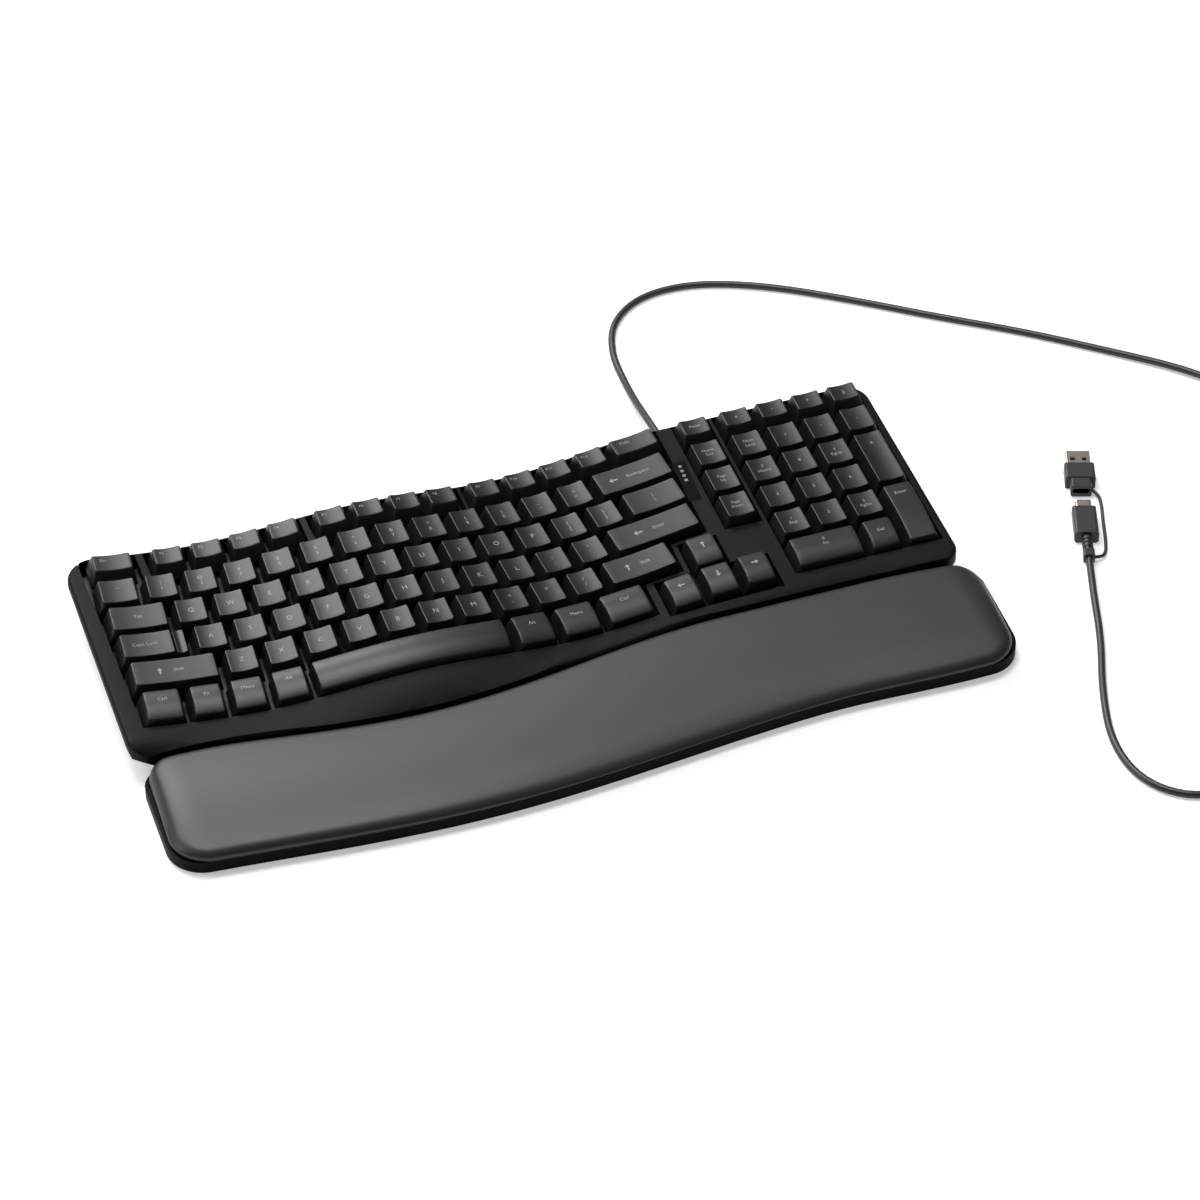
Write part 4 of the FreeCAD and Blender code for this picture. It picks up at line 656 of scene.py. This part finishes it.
top_offset = 3 * row_pitch + 0.55
brow_offset = -2 * row_pitch - 1.5
half = key_pitch / 2
left_end = -144.3
right_end = 147.8
top_depth = 16.9
low_depth = 19.7
top_row = (top_offset, top_depth)
number_row = (2 * row_pitch, row_pitch)
q_row = (row_pitch, row_pitch)
a_row = (0.0, row_pitch)
z_row = (-row_pitch, row_pitch)
low_row = (brow_offset, low_depth)
escape_end = -118.6
function_pitch = 18.8
function_starts = (-103.6, -23.4, 55.4)
number_start = -112.3
q_start = -103.4
a_start = -99.4
z_start = -90.1
left_bounds = (left_end, -122.2, -102.9, -83.3, -63.4)
right_bounds = (35.2, 57.8, 80.9, 107.6)


def bounded(bounds):
    return [row_cell(*low_row, a, b, True) for a, b in zip(bounds, bounds[1:])]


def pad_cell(x, y, width=pad_pitch, depth=pad_pitch, yaw=0.0, brow=False):
    return (x, y, width, depth, np.radians(yaw), brow)


def arrow_cell(x, y, yaw):
    return pad_cell(x, y, key_pitch, low_depth, yaw, True)


pad_back = 72.6
pad_low = -4.4
pad_x = 135.2 + pad_pitch * np.arange(4)
pad_y = pad_back - pad_pitch * np.arange(4)
media_y = pad_back + 19.2
navigation_x = 113.8
digits = [pad_cell(pad_x[c], pad_y[r]) for r in range(4) for c in range(4 if r == 0 else 3)]
enter_front = pad_low - low_depth / 2
enter_depth = pad_back - 2.5 * pad_pitch - enter_front
plus_y = (pad_y[1] + pad_y[2]) / 2

key_cells = {
    "escape_key": [row_cell(*top_row, left_end + 2.0, escape_end)],
    "function_keys_left": run_of_keys(*top_row, function_starts[0], 4, function_pitch),
    "function_keys_middle": run_of_keys(*top_row, function_starts[1], 4, function_pitch),
    "function_keys_right": run_of_keys(*top_row, function_starts[2], 4, function_pitch),
    "launch_key": [row_cell(*top_row, function_starts[2] + 3.5 * function_pitch, right_end + 1.0)],
    "number_row_keys": [row_cell(*number_row, left_end, number_start - half)]
    + run_of_keys(*number_row, number_start, 12),
    "backspace_key": [row_cell(*number_row, number_start + 11.5 * key_pitch, right_end)],
    "tab_key": [row_cell(*q_row, left_end, q_start - half)],
    "q_row_keys": run_of_keys(*q_row, q_start, 12)
    + [row_cell(*q_row, q_start + 11.5 * key_pitch, right_end)],
    "caps_lock_key": [row_cell(*a_row, left_end, a_start - half)],
    "a_row_keys": run_of_keys(*a_row, a_start, 11),
    "enter_key": [row_cell(*a_row, a_start + 10.5 * key_pitch, right_end)],
    "left_shift_key": [row_cell(*z_row, left_end, z_start - half)],
    "z_row_keys": run_of_keys(*z_row, z_start, 10),
    "right_shift_key": [row_cell(*z_row, z_start + 9.5 * key_pitch, 128.3)],
    "left_modifier_keys": bounded(left_bounds),
    "right_modifier_keys": bounded(right_bounds),
    "arrow_up_key": [arrow_cell(88.2, 12.2, 3.0)],
    "arrow_left_key": [arrow_cell(69.0, -9.4, 3.0)],
    "arrow_down_key": [arrow_cell(88.2, -8.4, 2.0)],
    "arrow_right_key": [arrow_cell(107.4, -7.4, 1.0)],
    "navigation_keys": [pad_cell(navigation_x, media_y, pad_pitch, top_depth)]
    + [pad_cell(navigation_x, y) for y in pad_y[:3]],
    "media_keys": [pad_cell(x + 0.5, media_y, pad_pitch, top_depth) for x in pad_x],
    "numpad_keys": digits + [pad_cell(pad_x[2], pad_low, pad_pitch, low_depth, 0.0, True)],
    "numpad_plus_key": [pad_cell(pad_x[3], plus_y, pad_pitch, 2 * pad_pitch)],
    "numpad_enter_key": [
        pad_cell(pad_x[3], enter_front + enter_depth / 2, pad_pitch, enter_depth, 0.0, True)
    ],
    "numpad_zero_key": [
        pad_cell(pad_x[:2].mean(), pad_low, 2 * pad_pitch, low_depth, 0.0, True)
    ],
}
for node, cells in key_cells.items():
    if node not in ("caps_lock_key", "escape_key"):
        caps(node, cells)

# The right end of the caps lock key is a strip that stands a little lower than the rest. The
# escape key's cap is narrower at the left than its well.
lock_end = a_start - half
lock_split = lock_end - 8.0
lock_parts = [
    row_cell(*a_row, left_end, lock_split),
    row_cell(*a_row, lock_split - 0.4, lock_end),
]
caps("caps_lock_key", lock_parts, leans=[1.1, -1.1], stems=key_cells["caps_lock_key"])
escape_stem = row_cell(*top_row, left_end, escape_end)
caps("escape_key", key_cells["escape_key"], stems=[escape_stem])
space_cell = row_cell(*low_row, left_bounds[-1], right_bounds[0], True)
caps("space_bar", [space_cell], draped)


# Legends: printed in faint grey on the tops of the keycaps, each bent to the top it lies on.

legend_ink = moulded("legend_ink", (0.2, 0.2, 0.2), (0.28, 0.28, 0.28), 0.5, 0.6, 1200.0, 0.1)
arrow_outline = np.array(
    [(-1.0, 0.0), (-0.2, 0.7), (-0.2, 0.2), (1.0, 0.2), (1.0, -0.2), (-0.2, -0.2), (-0.2, -0.7)]
)
arrow_turns = {"left": 0.0, "down": 90.0, "right": 180.0, "up": 270.0}


def lettering(text, size):
    """A short text, or an arrow, as flat points about its middle in millimetres, and its faces."""
    if text in arrow_turns:
        flat = np.column_stack([arrow_outline * size / 2, np.zeros(len(arrow_outline))])
        return turned(flat, "Z", np.radians(arrow_turns[text])), [tuple(range(len(flat)))]
    curve = bpy.data.curves.new("lettering", "FONT")
    curve.body = text
    curve.size = size
    curve.align_x = "CENTER"
    curve.align_y = "CENTER"
    curve.space_line = 1.15
    curve.resolution_u = 2
    item = bpy.data.objects.new("lettering", curve)
    mesh = bpy.data.meshes.new_from_object(item)
    flat = np.empty(3 * len(mesh.vertices))
    mesh.vertices.foreach_get("co", flat)
    faces = [tuple(face.vertices) for face in mesh.polygons]
    bpy.data.objects.remove(item)
    bpy.data.curves.remove(curve)
    bpy.data.meshes.remove(mesh)
    return flat.reshape(-1, 3), faces


def printed(node, cells, legends):
    """One mesh of the legends of a node. A legend is a list of marks: text, place and size."""
    verts = []
    faces = []
    count = 0
    for cell, legend in zip(cells, legends):
        depth = cell[3] - key_gap
        half_width = (cell[2] - key_gap) / 2 - side_taper
        short = depth < short_depth
        back = depth / 2 - (short_back_taper if short else back_taper)
        brow_depth = depth if cell[5] else 0.0
        middle = back - (6.4 if cell[5] else 5.2 if short else 7.4)
        for text, dx, dy, size in legend:
            flat, own_faces = lettering(text, size)
            x = flat[:, 0] + dx
            y = flat[:, 1] + dy + middle
            height = cap_top(x, y, half_width, back, brow_depth) + 0.04
            verts.append(seated(np.column_stack([x, y, height]), cell))
            faces += [tuple(corner + count for corner in face) for face in own_faces]
            count += len(flat)
    item = on_surface(node + "_legends", legend_ink, node, np.vstack(verts), faces, False)


def marks(texts, size, dx=0.0, dy=0.0):
    return [[(text, dx, dy, size)] for text in texts]


letter = 3.9
stacked = 3.1
word = 2.9
pairs_low = ["{\n[", "}\n]", "|\n\\"]
number_pairs = ["~\n`", "!\n1", "@\n2", "#\n3", "$\n4", "%\n5", "^\n6", "&\n7", "*\n8"]
number_pairs += ["(\n9", ")\n0", "_\n-", "+\n="]
pad_words = ["Num\nLock", "/", "*", "-", "7\nHome", "8", "9\nPgUp", "4", "5", "6"]
pad_words += ["1\nEnd", "2", "3\nPgDn", ".\nDel"]
key_legends = {
    "escape_key": marks(["Esc"], 2.5, -4.0, 1.5),
    "function_keys_left": marks(["F1", "F2", "F3", "F4"], 2.4, -2.6, 1.5),
    "function_keys_middle": marks(["F5", "F6", "F7", "F8"], 2.4, -2.6, 1.5),
    "function_keys_right": marks(["F9", "F10", "F11", "F12"], 2.4, -2.6, 1.5),
    "launch_key": marks(["PrtSc"], 2.5, -4.0, 1.5),
    "number_row_keys": marks(number_pairs, stacked),
    "backspace_key": [[("left", -10.0, 0.0, 4.4), ("Backspace", 3.0, 0.0, word)]],
    "tab_key": marks(["Tab"], word),
    "q_row_keys": marks("QWERTYUIOP", letter) + marks(pairs_low, stacked),
    "a_row_keys": marks("ASDFGHJKL", letter) + marks([":\n;", "\"\n'"], stacked),
    "enter_key": [[("left", -8.0, 0.0, 4.6), ("Enter", 3.0, 0.0, word)]],
    "left_shift_key": [[("up", -7.0, 0.0, 4.0), ("Shift", 2.0, 0.0, word)]],
    "z_row_keys": marks("ZXCVBNM", letter) + marks(["<\n,", ">\n.", "?\n/"], stacked),
    "right_shift_key": [[("up", -6.0, 0.0, 4.0), ("Shift", 3.0, 0.0, word)]],
    "left_modifier_keys": marks(["Ctrl", "Fn", "Menu", "Alt"], word),
    "right_modifier_keys": marks(["Alt", "Menu", "Ctrl"], word),
    "arrow_up_key": marks(["up"], 3.6),
    "arrow_left_key": marks(["left"], 3.6),
    "arrow_down_key": marks(["down"], 3.6),
    "arrow_right_key": marks(["right"], 3.6),
    "navigation_keys": marks(["Pause"], 2.5)
    + marks(["Home\nEnd", "Page\nUp", "Page\nDown"], 2.5),
    "media_keys": marks(["x", "-", "+", "||"], 3.2),
    "numpad_keys": marks(pad_words, 2.7),
    "numpad_plus_key": marks(["+"], letter),
    "numpad_enter_key": marks(["Enter"], word),
    "numpad_zero_key": marks(["0\nIns"], 2.7),
}
for node, legends in key_legends.items():
    printed(node, key_cells[node], legends)
printed("caps_lock_key", lock_parts[:1], marks(["Caps Lock"], word))


# Status window: a strip of glossy black acrylic let into the case between the enter key and
# the navigation keys, with four small frosted lights.

window_gloss = moulded(
    "window_gloss", (0.004, 0.004, 0.004), (0.006, 0.006, 0.006), 0.05, 0.1, 200.0, 0.02
)
light_lens = moulded(
    "light_lens", (0.13, 0.135, 0.13), (0.19, 0.195, 0.19), 0.3, 0.4, 800.0, 0.1
)
nodes["status_window"].data.materials.clear()
nodes["status_window"].data.materials.append(window_gloss)
nodes["status_lights"].data.materials.clear()
nodes["status_lights"].data.materials.append(light_lens)


# Wrist rest base: a shallow moulded tray below the cushion, screwed to the case's front.

tray_plastic = moulded(
    "tray_plastic", (0.003, 0.003, 0.003), (0.005, 0.005, 0.005), 0.5, 0.58, 1800.0, 0.35, 0.05
)
eased_copy("wrist_rest_tray", "wrist_rest_base", "keyboard_base", tray_plastic, 0.6, 3)


# Wrist rest cushion: soft foam under one skin of smooth leatherette, stretched over the edge
# of the board and tucked into the tray, so it has no seam on top.

cushion_skin = moulded(
    "cushion_skin", (0.013, 0.013, 0.0136), (0.018, 0.018, 0.0187), 0.42, 0.48, 900.0, 0.3, 0.42
)


skin_foot = 7.5
back_gap = 0.3
rim_insets = (0.0, 0.1, 0.35, 0.7, 1.2, 1.9, 2.8, 3.9, 5.3, 7.1, 9.1, 11.6)


def swell(x, middle, width):
    """A cosine wave from 0 to 1 and back within width of its middle."""
    inside = np.abs(x - middle) < width
    return np.where(inside, (1 + np.cos(np.pi * (x - middle) / width)) / 2, 0.0)


def back_line(x):
    """Back of the cushion: it bulges to the front once, droops at its ends, and stands a little
    ahead of the case."""
    droop = np.maximum(0.0, np.abs(x) - 150.0) / 58.0
    return -24.5 - 15.4 * swell(x, -65.6, 150.0) - 3.5 * droop**2 - back_gap


def front_line(x):
    """Front of the cushion: it bulges twice, and stands a little ahead of the tray below it."""
    return -92.5 - 13.2 * swell(x, -60.0, 195.0) - 2.4 * swell(x, 185.0, 74.0)


def plan_loop(inset, radii, along=150, across=30, corner=14):
    """The outline drawn in by inset, anticlockwise from the right: two edge rules, two straight
    ends, and four round corners, each with its own X and radius (right back, left back, left
    front, right front)."""
    corners = [(1, 1, 212.4), (-1, 1, 204.0), (-1, -1, 206.3), (1, -1, 209.6)]
    arcs = []
    for (sx, sy, side), radius in zip(corners, radii):
        tight = max(radius - inset, 0.5)
        start = np.degrees(np.arctan2(sy, sx)) - 45.0
        angles = np.radians(np.linspace(start, start + 90.0, corner))
        x = sx * (side - inset - tight) + tight * np.cos(angles)
        edge = back_line(x) - inset if sy > 0 else front_line(x) + inset
        arcs.append(np.column_stack([x, edge - sy * tight + tight * np.sin(angles)]))
    loop = []
    for index, arc in enumerate(arcs):
        loop.append(arc)
        start = arc[-1]
        finish = arcs[(index + 1) % 4][0]
        if index % 2 == 0:
            x = np.linspace(start[0], finish[0], along + 2)[1:-1]
            edge = back_line(x) - inset if index == 0 else front_line(x) + inset
            loop.append(np.column_stack([x, edge]))
        else:
            share = np.linspace(0.0, 1.0, across + 2)[1:-1, None]
            loop.append(start * (1 - share) + finish * share)
    return np.vstack(loop)


def cushion_height(x, y, inset):
    """Height of the skin: a plane that rises to the back with a crown across and, most in the
    middle of the rest, a roll down to the front; at the rim a quarter of a superellipse, wider at
    the ends than along the front and the back."""
    front = front_line(x)
    share = np.clip((y - front) / (back_line(x) - front), 0.0, 1.0)
    full = 13.0 + 3.0 * share + 2.6 * 4 * share * (1 - share)
    roll = 0.6 + 2.4 * swell(x, 40.0, 230.0)
    full = full - roll * (1 - np.minimum(share / 0.42, 1.0)) ** 2.4
    end = np.clip(np.minimum(x + 205.0, 211.0 - x) / 18.0, 0.0, 1.0)
    full = skin_foot + (full - skin_foot) * (1 - (1 - end) ** 3.2 * 0.42)
    rim = np.clip(inset / 4.5, 0.0, 1.0)
    rounded = np.sqrt(1 - (1 - rim) ** 2.2)
    return skin_foot + (full - skin_foot) * (0.42 + 0.58 * rounded)


def cushion_surface():
    """Loops from the middle of the flat underside, out and up over the rim, and in to a spine
    that follows the middle of the pad."""
    radii = (13.0, 11.0, 17.0, 17.0)
    loops = []
    outer = plan_loop(0.0, radii)
    spine_x = np.clip(outer[:, 0], -176.0, 182.0)
    spine_y = (back_line(spine_x) + back_gap + front_line(spine_x)) / 2
    spine = np.column_stack([spine_x, spine_y])
    under = plan_loop(0.8, radii)
    for share in (0.02, 0.5, 1.0):
        flat = spine + (under - spine) * share
        loops.append(np.column_stack([flat, np.full(len(flat), skin_foot)]))
    for inset in rim_insets:
        flat = plan_loop(inset, radii)
        height = cushion_height(flat[:, 0], flat[:, 1], inset)
        loops.append(np.column_stack([flat, height]))
    last = plan_loop(rim_insets[-1], radii)
    for share in np.linspace(0.1, 1.0, 12):
        flat = last + (spine - last) * share
        height = cushion_height(flat[:, 0], flat[:, 1], rim_insets[-1])
        loops.append(np.column_stack([flat, height]))
    return np.array(loops)


loops = cushion_surface()
cushion = on_surface(
    "cushion",
    cushion_skin,
    "keyboard_base",
    loops.reshape(-1, 3),
    ring_faces(len(loops), loops.shape[1])[:-2],
)
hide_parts("wrist_rest_cushion")
